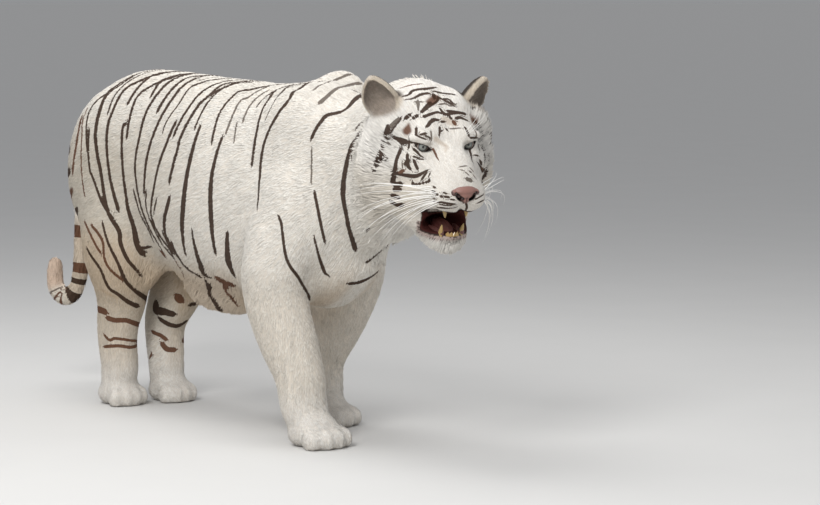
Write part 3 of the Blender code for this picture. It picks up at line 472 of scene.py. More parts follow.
def add_foreleg(bm, side):
    s = SIDE[side]
    x, y = FOREFOOT[side]
    if side == "right":
        shoulder = (0.490, -0.130, 0.600)
        elbow = (0.405, -0.165, 0.440)
        wrist = (x - 0.050, y - 0.004, 0.125)
        add_muscle(bm, (0.420, -0.068, 0.705), (0.190, 0.090, 0.225), (14, 24, 0))
    else:
        shoulder = (0.435, 0.125, 0.600)
        elbow = (0.330, 0.145, 0.440)
        wrist = (x - 0.030, y + 0.004, 0.125)
        add_muscle(bm, (0.355, 0.064, 0.757), (0.165, 0.086, 0.218), (-12, 8, 0))
    middle = [(a + b) / 2 for a, b in zip(elbow, wrist)]
    add_muscle(bm, shoulder, (0.105, 0.080, 0.140), (-10 * s, -16, 0))
    add_limb(
        bm,
        [
            (shoulder[0] - 0.020, s * 0.125, 0.650, 0.075, 0.100, 0.115),
            (elbow[0] + 0.035, elbow[1], 0.510, 0.079, 0.102, 0.112),
            (elbow[0] + 0.017, elbow[1], 0.400, 0.078, 0.093, 0.101),
            (middle[0] + 0.006, middle[1], 0.280, 0.074, 0.088, 0.090),
            (wrist[0] + 0.004, wrist[1], 0.175, 0.066, 0.070, 0.070),
            (wrist[0] + 0.012, wrist[1], 0.115, 0.066, 0.063, 0.063),
            (x - 0.012, y, 0.062, 0.066, 0.052, 0.058),
        ],
    )


def add_hindleg(bm, side):
    s = SIDE[side]
    x, y = HINDFOOT[side]
    hock_x = x + (0.004 if side == "right" else -0.010)
    shin_x = x + (0.022 if side == "right" else 0.034)
    knee = (x + 0.100, y * 0.5 + s * 0.078, 0.440)
    # Loose skin widens the right leg in front and the left one behind
    front, back = (0.013, 0.0) if side == "right" else (0.0, 0.018)
    add_muscle(bm, (-0.470, s * 0.082, 0.670), (0.176, 0.095, 0.225), (0, 12, 0))
    add_limb(
        bm,
        [
            (-0.450, s * 0.080, 0.680, 0.080, 0.150, 0.165),
            (-0.395, s * 0.104, 0.545, 0.087, 0.140 + front, 0.165),
            (knee[0] - 0.056, knee[1], 0.430, 0.084, 0.112 + 1.4 * front, 0.125 + 0.5 * back),
            (shin_x, y * 0.75 + s * 0.025, 0.315, 0.068, 0.084 + front, 0.086 + back),
            (hock_x, y + s * 0.004, 0.235, 0.056, 0.068 + front, 0.066 + back),
            (hock_x, y + s * 0.003, 0.170, 0.054, 0.058 + front, 0.064 + 0.8 * back),
            (hock_x + 0.008, y, 0.100, 0.054, 0.054 + 0.5 * front, 0.056 + 0.4 * back),
            (x - 0.012, y, 0.050, 0.054, 0.046, 0.048),
        ],
    )
    add_muscle(bm, (hock_x - 0.056, y + s * 0.004, 0.222), (0.030, 0.028, 0.044), (0, 14, 0))
    # The fold of loose skin that hangs from the flank to the knee
    add_muscle(bm, (-0.290, s * 0.078, 0.392), (0.100, 0.032, 0.058), (0, -33, 0))


def add_paw(bm, x, y, half_width, length):
    """A broad paw: the pad, the arch behind the toes, and four toes."""
    add_muscle(bm, (x - 0.008, y, 0.036), (length * 0.35, half_width * 0.90, 0.040))
    add_muscle(bm, (x + 0.014, y, 0.054), (length * 0.30, half_width * 0.86, 0.042), (0, 20, 0))
    for slot in (-1.5, -0.5, 0.5, 1.5):
        reach = length * (0.39 if abs(slot) < 1 else 0.31)
        toe = (x + reach, y + half_width * 0.47 * slot, 0.029)
        add_muscle(bm, toe, (length * 0.21, half_width * 0.30, 0.033), (0, 14, 7 * slot))


def head_masses(bm, subdivisions):
    """A function that adds an ellipsoid on the head's own axes, and its twin if it is off the middle."""

    def mass(at, radii, turn=(0, 0, 0)):
        for s in (1, -1) if at[1] else (1,):
            place = (at[0], s * at[1], at[2])
            add_muscle(bm, place, radii, (s * turn[0], turn[1], s * turn[2]), HEAD, subdivisions)

    return mass


def add_head(bm):
    """Skull, cheeks, brows, muzzle and jaw, on the head's own axes."""
    mass = head_masses(bm, 3)
    add_barrel(bm, SKULL, frame=HEAD, square=0.85)
    # Temples, and the ruff that stands out behind the cheeks
    mass((-0.118, 0.050, 0.036), (0.080, 0.055, 0.056))
    mass((-0.095, 0.090, 0.000), (0.070, 0.052, 0.062))
    mass((-0.088, 0.112, -0.055), (0.068, 0.046, 0.098), (8, 0, 0))
    mass((-0.082, 0.092, -0.125), (0.068, 0.046, 0.060), (12, 8, 0))
    # Brows and cheekbones
    mass((-0.018, 0.046, 0.020), (0.040, 0.036, 0.020), (0, 22, 22))
    mass((-0.030, 0.074, -0.052), (0.056, 0.040, 0.050), (0, 10, -20))
    mass((0.000, 0.058, -0.096), (0.064, 0.036, 0.048), (0, 10, -14))
    mass((-0.036, 0.076, -0.106), (0.060, 0.036, 0.050), (0, 10, -10))
    # The bridge of the nose and the whisker pads
    mass((0.036, 0.000, -0.030), (0.086, 0.048, 0.032), (0, 27, 0))
    mass((0.076, 0.033, -0.086), (0.048, 0.033, 0.035), (0, 10, -14))
    # The lower jaw, dropped a little, with the chin
    mass((0.020, 0.034, -0.180), (0.060, 0.025, 0.032), (0, 14, -10))
    mass((-0.010, 0.000, -0.176), (0.070, 0.046, 0.036), (0, 14, 0))
    mass((0.046, 0.000, -0.198), (0.038, 0.040, 0.030), (0, 12, 0))
    mass((-0.034, 0.054, -0.152), (0.060, 0.032, 0.042), (0, 16, -8))


def evaluated(obj):
    """This object's mesh with its modifiers carried out."""
    bpy.context.view_layer.update()
    graph = bpy.context.evaluated_depsgraph_get()
    return bpy.data.meshes.new_from_object(obj.evaluated_get(graph))


def fused(name, bm, collection, voxel, iterations):
    """Overlapping shapes made into one skin, and smoothed."""
    obj = new_object(name, bm, collection)
    remesh = obj.modifiers.new("fuse", "REMESH")
    remesh.mode = "VOXEL"
    remesh.voxel_size = voxel
    smooth = obj.modifiers.new("soften", "SMOOTH")
    smooth.factor = 0.5
    smooth.iterations = iterations
    return obj


def relaxed(bm, inside, iterations):
    """Softens one part of a mesh only."""
    verts = [vert for vert in bm.verts if inside(vert.co)]
    for _ in range(iterations):
        bmesh.ops.smooth_vert(bm, verts=verts, factor=0.5, use_axis_x=True, use_axis_y=True, use_axis_z=True)


def make_flesh(collection):
    """The whole animal in two passes, so that the muscles melt together while toes and face stay crisp."""
    bm = bmesh.new()
    add_trunk(bm)
    add_neck(bm)
    for side in SIDE:
        add_foreleg(bm, side)
        add_hindleg(bm, side)
    body = fused("muscles", bm, collection, 0.009, 36)
    bm = opened(evaluated(body))
    relaxed(bm, lambda co: 0.15 < co.x < 0.66 and co.z > 0.46, 60)
    relaxed(bm, lambda co: -0.62 < co.x < -0.20 and 0.42 < co.z < 0.86, 30)
    for side in SIDE:
        add_paw(bm, *FOREFOOT[side], half_width=0.071, length=0.178)
        add_paw(bm, *HINDFOOT[side], half_width=0.061, length=0.155)
    add_limb(bm, TAIL, steps=4, count=16)
    add_head(bm)
    bpy.data.objects.remove(body)
    rough = fused("rough", bm, collection, SKIN_VOXEL, 3)
    # The orbits are sunk before the last softening
    for s in SIDE.values():
        bm = bmesh.new()
        add_muscle(bm, (0.020, s * 0.057, -0.003), (0.021, 0.026, 0.017), (0, 0, s * 20), frame=HEAD)
        boolean(rough, new_object("orbit", bm, collection), "DIFFERENCE")
    bm = opened(evaluated(rough))
    bpy.data.objects.remove(rough)
    return fused("flesh", bm, collection, SKIN_VOXEL, 9)


def placed(name, data):
    """A new object in the scene, for this mesh, light or camera."""
    obj = bpy.data.objects.new(name, data)
    bpy.context.scene.collection.objects.link(obj)
    return obj


def boolean(obj, cutter, operation):
    modifier = obj.modifiers.new(operation.lower(), "BOOLEAN")
    modifier.operation = operation
    modifier.solver = "EXACT"
    modifier.object = cutter


def half(mesh, point, normal):
    """Keeps the side of the mesh that this plane's normal points away from, and closes it."""
    bm = opened(mesh)
    everything = bm.verts[:] + bm.edges[:] + bm.faces[:]
    cut = bmesh.ops.bisect_plane(bm, geom=everything, plane_co=point, plane_no=normal, clear_outer=True)
    rim = [edge for edge in cut["geom_cut"] if isinstance(edge, bmesh.types.BMEdge)]
    bmesh.ops.triangle_fill(bm, edges=rim, use_beauty=True)
    bmesh.ops.recalc_face_normals(bm, faces=bm.faces)
    bm.to_mesh(mesh)
    bm.free()
    return mesh


# ---- Where things are ------------------------------------------------------------------------
def centre(node):
    low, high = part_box(node)
    return (low + high) / 2


# The shapes above are drawn about the floor between the feet. The frame is centred, so they move by SHIFT
SHIFT = centre("eye_left") - HEAD @ EYE
INTO_HEAD = np.array(HEAD.inverted())


def in_head(points):
    """Points of the body, on the head's own axes."""
    return points @ INTO_HEAD[:3, :3].T + INTO_HEAD[:3, 3]


def ramp(values, start, end):
    """0 before start, 1 after end, and smooth between them."""
    t = np.clip((values - start) / (end - start), 0, 1)
    return t * t * (3 - 2 * t)


def unit(vectors):
    return vectors / np.maximum(np.linalg.norm(vectors, axis=1), 1e-9)[:, None]


TAIL_PATH = smooth_path([row[:3] for row in TAIL], 6)


def along_tail(points):
    """How near the tail's middle line each point is, how far down it, and which way the tail runs there."""
    steps = np.linalg.norm(np.diff(TAIL_PATH, axis=0), axis=1)
    reach = np.concatenate([[0], np.cumsum(steps)])
    near = points[:, 0] < -0.60
    some = points[near]
    gaps = np.linalg.norm(some[:, None] - TAIL_PATH[None], axis=2)
    nearest = gaps.argmin(axis=1)
    heading = unit(np.gradient(TAIL_PATH, axis=0))
    beyond = ((some - TAIL_PATH[nearest]) * heading[nearest]).sum(axis=1)
    gap = np.ones(len(points))
    far = np.zeros(len(points))
    way = np.tile((-1.0, 0.0, 0.0), (len(points), 1))
    gap[near] = gaps.min(axis=1)
    far[near] = reach[nearest] + np.clip(beyond, -0.02, 0.02)
    way[near] = heading[nearest]
    return gap, far, way


class Place:
    """What part of the tiger each of these points is on, as weights from 0 to 1."""

    def __init__(self, points):
        x, y, z = points.T
        hx, hy, hz = in_head(points).T
        self.points = points
        self.head_points = np.stack([hx, hy, hz], axis=1)
        gap, self.tail_reach, self.tail_heading = along_tail(points)
        self.tail = (1 - ramp(gap, 0.055, 0.075)) * (1 - ramp(x, -0.69, -0.64))
        near_head = 1 - ramp(np.linalg.norm(self.head_points + (0.06, 0, 0.04), axis=1), 0.24, 0.30)
        self.head = ramp(hx, -0.20, -0.14) * near_head
        self.face = self.head * ramp(hx, -0.075, -0.03)
        self.muzzle = self.head * ramp(hx, 0.045, 0.075)
        self.ruff = self.head * ramp(np.abs(hy), 0.072, 0.100) * (1 - ramp(hx, -0.035, -0.005))
        self.ruff *= 1 - ramp(hz, -0.02, 0.03)
        self.chin = self.head * (1 - ramp(hz, -0.195, -0.175)) * ramp(hx, -0.03, 0.01)
        self.throat = self.head * (1 - ramp(hz, -0.175, -0.135)) * (1 - self.chin)
        self.throat *= 1 - ramp(hx, -0.03, 0.02)
        ears = []
        for side in SIDE:
            offset = self.head_points - np.array(EAR[side]) - (0.004, 0, 0.010)
            ears.append(1 - ramp(np.linalg.norm(offset / (1.2, 1.0, 1.2), axis=1), 0.036, 0.052))
        self.ear = np.maximum(*ears) * self.head
        self.fringe = self.head * ramp(np.abs(hy), 0.070, 0.092) * (1 - ramp(hx, -0.015, 0.015))
        self.fringe *= (1 - self.ear) * (1 - ramp(hz, 0.055, 0.085)) * ramp(hz, -0.09, -0.05)
        self.fringe *= 0.15 + 0.85 * ramp(hy, -0.02, 0.02)
        body = (1 - self.tail) * (1 - self.head)
        fore = ramp(x, 0.05, 0.20)
        self.leg = body * (1 - ramp(z, 0.36 + 0.06 * (1 - fore), 0.50 + 0.04 * (1 - fore)))
        self.leg *= np.maximum(ramp(np.abs(y), 0.01, 0.05) * np.maximum(fore, 1 - ramp(x, -0.30, -0.20)), 0)
        self.paw = body * (1 - ramp(z, 0.085, 0.125))
        middle = ramp(x, -0.32, -0.22) * (1 - ramp(x, 0.16, 0.26))
        self.belly = body * middle * (1 - ramp(z, 0.37, 0.46))
        self.back = body * ramp(z, 0.84, 0.91)
        self.chest = body * ramp(x, 0.50, 0.58) * (1 - ramp(z, 0.62, 0.72))


def coat_depth(place):
    """How far the skin lies inside the coat's outline."""
    depth = 0.0045 + 0.004 * place.belly + 0.0035 * place.tail - 0.0015 * place.leg - 0.001 * place.paw
    depth = depth * (1 - place.head) + place.head * 0.0032
    depth = depth + 0.008 * place.ruff + 0.006 * place.throat + 0.003 * place.chin
    depth = depth - 0.0012 * place.face + 0.002 * place.fringe
    return np.maximum(depth, 0.0016)


# The hollow of the muzzle for the nose's leather, on the head's own axes
NOSE_BED, NOSE_BED_RADII = (0.112, 0, -0.0745), (0.022, 0.0225, 0.0130)
LID_TURN = 12  # degrees outwards
GAZE = (-10, 4)  # degrees to the left and up, on the head's own axes
# The almond between the lids: half its width, its rise and its drop, and its slope outwards
LID_HALF, LID_UP, LID_DOWN, LID_SLANT = 0.0146, 0.0066, 0.0086, 0.26
NECK_FLOOR = 0.40  # the seam of the head is cut only above this height

# ---- Skin ------------------------------------------------------------------------------------
def arrays(mesh):
    """A mesh's points, normals and triangles."""
    count = len(mesh.vertices)
    points = np.empty(count * 3, np.float32)
    normals = np.empty(count * 3, np.float32)
    mesh.vertices.foreach_get("co", points)
    mesh.vertices.foreach_get("normal", normals)
    mesh.calc_loop_triangles()
    faces = np.empty(len(mesh.loop_triangles) * 3, np.int32)
    mesh.loop_triangles.foreach_get("vertices", faces)
    return points.reshape(-1, 3).astype(float), normals.reshape(-1, 3).astype(float), faces.reshape(-1, 3)


def floats(values):
    """Rows of numbers as Blender takes them in."""
    return values.astype(np.float32).ravel()


def set_vectors(mesh, name, values):
    """Writes an attribute that materials read, one vector for each point."""
    mesh.attributes.new(name, "FLOAT_VECTOR", "POINT").data.foreach_set("vector", floats(values))


def sunk(mesh):
    """The mesh moved in by the depth of the coat."""
    points, normals, _ = arrays(mesh)
    points -= normals * coat_depth(Place(points))[:, None]
    points[:, 2] = np.maximum(points[:, 2], FLOOR + 0.0015)
    mesh.vertices.foreach_set("co", floats(points))
    mesh.update()
    return mesh


def cut_open(mesh, point, normal):
    """Removes what lies past the seam and leaves the rim open. The forefeet, far below, are left alone."""
    bm = opened(mesh)
    verts = [vert for vert in bm.verts if vert.co.z > NECK_FLOOR]
    chosen = set(verts)
    edges = [edge for edge in bm.edges if chosen.issuperset(edge.verts)]
    faces = [face for face in bm.faces if chosen.issuperset(face.verts)]
    bmesh.ops.bisect_plane(bm, geom=verts + edges + faces, plane_co=point, plane_no=normal, clear_outer=True)
    bm.to_mesh(mesh)
    bm.free()
    return mesh


def without_feet(mesh):
    """The mesh without what lies below the neck's lowest cut."""
    bm = opened(mesh)
    bmesh.ops.delete(bm, geom=[vert for vert in bm.verts if vert.co.z < NECK_FLOOR], context="VERTS")
    bm.to_mesh(mesh)
    bm.free()
    return mesh


EAR_RADII = (0.0235, 0.0400, 0.0555)
EAR_NARROWS = 0.34  # the share of its width that an ear loses from its middle to its tip


def ear_frame(side):
    s = SIDE[side]
    turn = Matrix.Rotation(math.radians(-24 * s), 4, "X") @ Matrix.Rotation(math.radians(34 * s), 4, "Z")
    return HEAD @ Matrix.Translation(EAR[side]) @ turn


def ear_shape(name, side, offset, radii, segments, rings, collection):
    """An egg that narrows towards the tip of the ear, and leans out a little."""
    bm = bmesh.new()
    bmesh.ops.create_uvsphere(bm, u_segments=segments, v_segments=rings, radius=1)
    for vert in bm.verts:
        rise = max(0.0, vert.co.z)
        vert.co.y = vert.co.y * (1 - EAR_NARROWS * rise) + SIDE[side] * 0.12 * rise
    bm.transform(ear_frame(side) @ Matrix.Translation(offset) @ Matrix.Diagonal((*radii, 1)))
    return new_object(name, bm, collection)


def add_ears(bm, helpers):
    """The cupped shells of the ears, a little smaller all round than their outline."""
    for side in SIDE:
        shell = ear_shape("ear_shell", side, (0, 0, 0), EAR_RADII, 40, 28, helpers)
        hollow = ear_shape("ear_hollow", side, (0.0125, 0, 0.001), (0.0272, 0.0345, 0.0490), 40, 28, helpers)
        boolean(shell, hollow, "DIFFERENCE")
        bm.from_mesh(evaluated(shell))


def eye_frame(s):
    """The head's axes moved to the middle of an eye."""
    return HEAD @ Matrix.Translation((EYE.x, s * EYE.y, EYE.z))


def eye_space(head_points, s):
    """Points on an eye's own axes: forward along the lids' opening, out to the side, and up."""
    turn = math.radians(s * LID_TURN)
    x = head_points[:, 0] - EYE.x
    y = head_points[:, 1] - s * EYE.y
    ahead = x * math.cos(turn) + y * math.sin(turn)
    out = s * (y * math.cos(turn) - x * math.sin(turn))
    return ahead, out, head_points[:, 2] - EYE.z


def lid_line(out, up):
    """1 on the edge of the almond between the lids, less inside it and more outside."""
    rise = up - LID_SLANT * out
    wide = np.clip(np.abs(out) / LID_HALF, 0, 1.6)
    reach = np.where(rise > 0, LID_UP, LID_DOWN) * (1 - 0.30 * np.minimum(wide, 1) ** 2)
    return np.sqrt(wide**2 + (rise / reach) ** 2)


def add_face(bm):
    """Lids, the fold over them, the bridge and pads of the muzzle, and the lips, on the head's own axes."""
    mass = head_masses(bm, 4)
    # Lids hug the eyeball all round its opening
    ball = EYE_RADIUS / HEAD_SCALE
    turn = math.radians(LID_TURN)
    for k in range(22):
        a = 2 * math.pi * k / 22
        out = 1.12 * LID_HALF * math.cos(a)
        up = 1.18 * (LID_UP if math.sin(a) > 0 else LID_DOWN) * math.sin(a) + LID_SLANT * out
        ahead = math.sqrt(max(ball**2 - min(out * out + up * up, 0.85 * ball**2), 0)) + 0.0006
        x = EYE.x + ahead * math.cos(turn) - out * math.sin(turn)
        y = EYE.y + ahead * math.sin(turn) + out * math.cos(turn)
        mass((x - 0.0012, y, EYE.z + up), (0.0046, 0.0046, 0.0034 if math.sin(a) > 0 else 0.0030))
    # Brow ridge, cheekbone edge and the sides of the bridge
    mass((-0.004, 0.050, 0.0165), (0.018, 0.021, 0.0060), (0, 18, 24))
    mass((-0.012, 0.066, 0.018), (0.020, 0.016, 0.0085), (0, 10, 60))
    # Philtrum edges and the fleshy edge of the upper lip
    mass((0.083, 0.0225, -0.1000), (0.0300, 0.0195, 0.0210), (0, 8, -10))
    mass((0.060, 0.0400, -0.1040), (0.0300, 0.0130, 0.0180), (0, 8, -22))
    # The lower lip and the gums behind it
    mass((0.054, 0, -0.1830), (0.0290, 0.0270, 0.0080))
    mass((0.032, 0.0290, -0.1800), (0.0300, 0.0095, 0.0080), (0, 4, -14))


def make_head_skin(flesh_mesh, seam, normal, helpers):
    """The head with its face and ears, open at the seam, and hollowed for eyes, mouth and nose."""
    block = without_feet(half(flesh_mesh.copy(), seam - normal * 0.03, -normal))
    bm = opened(sunk(block))
    add_face(bm)
    add_ears(bm, helpers)
    head = fused("head_skin", bm, helpers, HEAD_VOXEL, 3)
    for s in SIDE.values():
        bm = bmesh.new()
        radius = (EYE_RADIUS + 0.0004) / HEAD_SCALE
        bmesh.ops.create_icosphere(bm, subdivisions=5, radius=radius, matrix=eye_frame(s))
        boolean(head, new_object("socket", bm, helpers), "DIFFERENCE")
        boolean(head, lid_opening(s, helpers), "DIFFERENCE")
    bm = bmesh.new()
    add_barrel(bm, LIPS, frame=HEAD, square=0.8, steps=4, count=32)
    boolean(head, new_object("mouth", bm, helpers), "DIFFERENCE")
    bm = bmesh.new()
    add_muscle(bm, NOSE_BED, NOSE_BED_RADII, frame=HEAD, subdivisions=5)
    boolean(head, new_object("nose_bed", bm, helpers), "DIFFERENCE")
    return cut_open(evaluated(head), seam - normal * 0.001, -normal)


def lid_opening(s, helpers):
    """The almond between the lids, drawn out along the eye's axis."""
    bm = bmesh.new()
    outline = []
    for k in range(48):
        a = 2 * math.pi * k / 48
        wide = math.cos(a)
        reach = (LID_UP if math.sin(a) > 0 else LID_DOWN) * (1 - 0.30 * wide * wide)
        # The inner corner hangs low, the outer one rides high
        outline.append((LID_HALF * wide, reach * math.sin(a) + LID_SLANT * LID_HALF * wide))
    frame = eye_frame(s) @ Matrix.Rotation(math.radians(s * LID_TURN), 4, "Z")
    rings = [[frame @ Vector((x, s * wide, high)) for wide, high in outline] for x in (0.004, 0.06)]
    add_rings(bm, rings)
    return new_object("lid_opening", bm, helpers)


def make_skin(helpers):
    """One skin from nose to tail: the fine mesh of the head bridged to the body's at a seam on the neck."""
    whole = evaluated(make_flesh(helpers))
    normal = HEAD.to_3x3() @ Vector((1, 0, 0))
    normal.normalize()
    seam = HEAD @ Vector((HEAD_CUT, 0, 0))
    head = make_head_skin(whole, seam, normal, helpers)
    body = cut_open(sunk(whole.copy()), seam, normal)
    bm = opened(body, head)
    rims = [edge for edge in bm.edges if len(edge.link_faces) == 1]
    bmesh.ops.bridge_loops(bm, edges=rims)
    bmesh.ops.recalc_face_normals(bm, faces=bm.faces)
    skin = bpy.data.meshes.new("skin")
    bm.to_mesh(skin)
    bm.free()
    return skin


# ---- Markings --------------------------------------------------------------------------------
STROKE = 1.8  # strokes are this much wider than the tables say
HEAD_STROKE = 0.92  # and those of the head this much again
STROKE_STEP = 0.003  # between samples along a stroke
WIDE_ON_BODY, WIDE_ON_HEAD = 7.5, 5  # half widths in mm over which a brown stroke is a patch
CHEEK = 78  # mm from the middle of the head; strokes beyond it are copied to the other side
COPY_WANDER = 0.008  # how far forward or back a copy on the body may lie
COPY_BACK = 0.022  # how much further back a copy on the head lies
COPY_START = 0.012  # from the middle of the back to where copies begin
COPY_CLEAR = 0.030  # between a copy and a stroke that comes over the back
NEIGHBOURS = 0.035  # strokes this near agree on their sides
# Rings of the tail: how far down it, half width and ink
TAIL_RINGS = [
    (0.085, 0.009, 0),
    (0.140, 0.010, 0),
    (0.200, 0.012, 0),
    (0.265, 0.013, 0),
    (0.340, 0.014, 1),
    (0.417, 0.018, 1),
    (0.523, 0.015, 1),
    (0.562, 0.008, 0),
    (0.607, 0.013, 0),
    (0.640, 0.003, 1),
    (0.656, 0.003, 1),
    (0.673, 0.0025, 2),
]
INKS = [(0.042, 0.021, 0.012), (0.120, 0.052, 0.028), (0.15, 0.125, 0.105), (0.40, 0.28, 0.17)]
BROWN_INK, GREY_INK, TAN_INK = 1, 2, 3


def is_patch(ink, half_widths, wide):
    """Whether this is a patch with soft edges: any tan stroke, or a wide brown one."""
    return ink == TAN_INK or max(half_widths) > wide and ink == BROWN_INK


class Markings:
    """The stripes, as strokes sampled on the skin, from which any point can find the nearest."""

    def __init__(self, tree, soft):
        self.parts = {"samples": [], "normals": [], "halves": [], "inks": [], "flows": [], "strokes": []}
        self.count = 0
        for copy in (False, True):
            past = [point for path in self.parts["samples"] for point in path if point[1] > 0]
            self.past = kd_of(np.array(past)) if past else None
            for mirror, ink, half_widths, points in BODY_MARKS:
                if soft == is_patch(ink, half_widths, WIDE_ON_BODY) and (mirror or not copy):
                    self.lay(tree, ink, half_widths, points, copy, None)
        for ink, half_widths, points in HEAD_MARKS:
            if soft == is_patch(ink, half_widths, WIDE_ON_HEAD):
                on_cheek = np.mean([abs(y) for _, y, _ in points]) > CHEEK
                for copy in (False, True) if on_cheek else (False,):
                    self.lay(tree, ink, half_widths, points, copy, HEAD)
        for name, rows in self.parts.items():
            setattr(self, name, np.concatenate(rows))
        self.kd = kd_of(self.samples)
        self.agree()

    def lay(self, tree, ink, half_widths, points, mirrored, frame):
        """Samples one stroke along the skin. Frame is HEAD where the points are on the head's own axes."""
        rows = np.array(points) / 1000
        x, y, z = rows[0]
        if not frame and ink < GREY_INK and z > 0.80 and -0.13 < y < -0.005 and x < 0.40:
            # A stripe that comes near the middle of the back runs on to it
            ahead, aside = (rows[0] - rows[1])[:2]
            lean = min(max(ahead / max(abs(aside), 1e-3), 0.2), 0.9) * abs(y)
            rows = np.concatenate([[(x + lean, -0.002, z + 0.03), (x + lean * 0.6, y / 2, z + 0.02)], rows])
        if mirrored:
            rows[:, 1] *= -1
            wander = np.random.default_rng(len(self.parts["inks"]))
            rows[:, 0] += -COPY_BACK if frame else wander.uniform(-COPY_WANDER, COPY_WANDER)
        if frame:
            rows = np.array([frame @ Vector(row) for row in rows])
        spacing = np.linalg.norm(np.diff(rows, axis=0), axis=1).mean()
        path = smooth_path(rows, max(2, int(spacing / STROKE_STEP)))
        found = [tree.find_nearest(Vector(point)) for point in path]
        path = np.array([hit[0] for hit in found])
        share = np.linspace(0, 1, len(path))
        width = np.interp(share, np.linspace(0, 1, len(half_widths)), half_widths) * 0.001
        width *= STROKE * (HEAD_STROKE * HEAD_SCALE if frame else 1)
        keep = np.ones(len(path), bool)
        if mirrored and not frame:
            # A copy ends at the middle of the back, and short of any stroke that comes over it
            keep = path[:, 1] > COPY_START
            if self.past:
                keep &= np.array([self.past.find(Vector(point))[2] > COPY_CLEAR for point in path])
        if not keep.any():
            return
        self.parts["samples"].append(path[keep])
        self.parts["normals"].append(np.array([hit[1] for hit in found])[keep])
        self.parts["halves"].append(width[keep])
        self.parts["inks"].append(np.full(keep.sum(), ink))
        self.parts["flows"].append(unit(np.gradient(path, axis=0))[keep])
        self.parts["strokes"].append(np.full(keep.sum(), self.count))
        self.count += 1

    def agree(self):
        """Turns strokes round until neighbours have the same sign between them, the nearest pairs first."""
        closest = {}
        for i, point in enumerate(self.samples):
            for _, j, gap in self.kd.find_range(Vector(point), NEIGHBOURS):
                pair = (self.strokes[i], self.strokes[j])
                if pair[0] < pair[1] and gap < closest.get(pair, (1,))[0]:
                    closest[pair] = (gap, i, j)
        parent = list(range(self.count))
        parity = [1] * self.count

        def root(k):
            sign = 1
            while parent[k] != k:
                sign *= parity[k]
                k = parent[k]
            return k, sign

        for (a, b), (gap, i, j) in sorted(closest.items(), key=lambda item: item[1][0]):
            offset = self.samples[j] - self.samples[i]
            sign_a = np.sign(np.cross(self.flows[i], offset) @ self.normals[i]) or 1
            sign_b = np.sign(np.cross(self.flows[j], -offset) @ self.normals[j]) or 1
            (ra, pa), (rb, pb) = root(a), root(b)
            if ra != rb:
                parent[rb] = ra
                parity[rb] = int(sign_a * sign_b * pa * pb)
        turned = np.array([root(k)[1] for k in range(self.count)])
        self.flows *= turned[self.strokes][:, None]

    def read(self, points, normals, place):
        """For each point: signed distance across the nearest stroke, plain distance, half width and ink."""
        index = np.array([self.kd.find(point)[1] for point in points])
        offset = points - self.samples[index]
        gap = np.linalg.norm(offset, axis=1)
        side = np.sign((np.cross(self.flows[index], offset) * normals).sum(axis=1))
        side[side == 0] = 1
        across, halves, inks = side * gap, self.halves[index], self.inks[index]
        on_tail = place.tail > 0.5
        rings = np.array(TAIL_RINGS)
        ring = np.abs(place.tail_reach[:, None] - rings[None, :, 0]).argmin(axis=1)
        along = (place.tail_reach - rings[ring, 0]) * np.where(ring % 2 == 0, 1, -1)
        across = np.where(on_tail, along, across)
        gap = np.where(on_tail, np.abs(along), gap)
        halves = np.where(on_tail, rings[ring, 1], halves)
        inks = np.where(on_tail, rings[ring, 2].astype(int), inks)
        return across, gap, halves, inks


def kd_of(points):
    tree = KDTree(len(points))
    for i, point in enumerate(points):
        tree.insert(point, i)
    tree.balance()
    return tree


# ---- Colour of the coat ----------------------------------------------------------------------
# Linear RGB
CREAM = (0.735, 0.70, 0.640)
WHITE = (0.715, 0.685, 0.635)
TAN = (0.50, 0.36, 0.225)
SAND = (0.62, 0.545, 0.435)
# Painted shade with a tan tint, for the lower rear that is turned from the light
PAINTED_SHADE_TAN = (0.47, 0.42, 0.34)
EAR_GREY = (0.27, 0.215, 0.17)
TAIL_TIP = (0.60, 0.43, 0.32)
EAR_BACK = (0.045, 0.036, 0.030)
LID_BLACK = (0.020, 0.015, 0.013)
LIP_BLACK = (0.035, 0.024, 0.021)
LIP_PALE = (0.36, 0.25, 0.22)
# The mouth's lining: its own dark red, darkened further with painted shade of the mouth's inside
SHADED_LINING = (0.055, 0.014, 0.012)


def layered(base, *layers):
    """Base under one layer after another, each a colour and how much of it there is at each point."""
    for colour, weight in layers:
        base = base + (np.asarray(colour) - base) * np.clip(weight, 0, 1)[:, None]
    return base


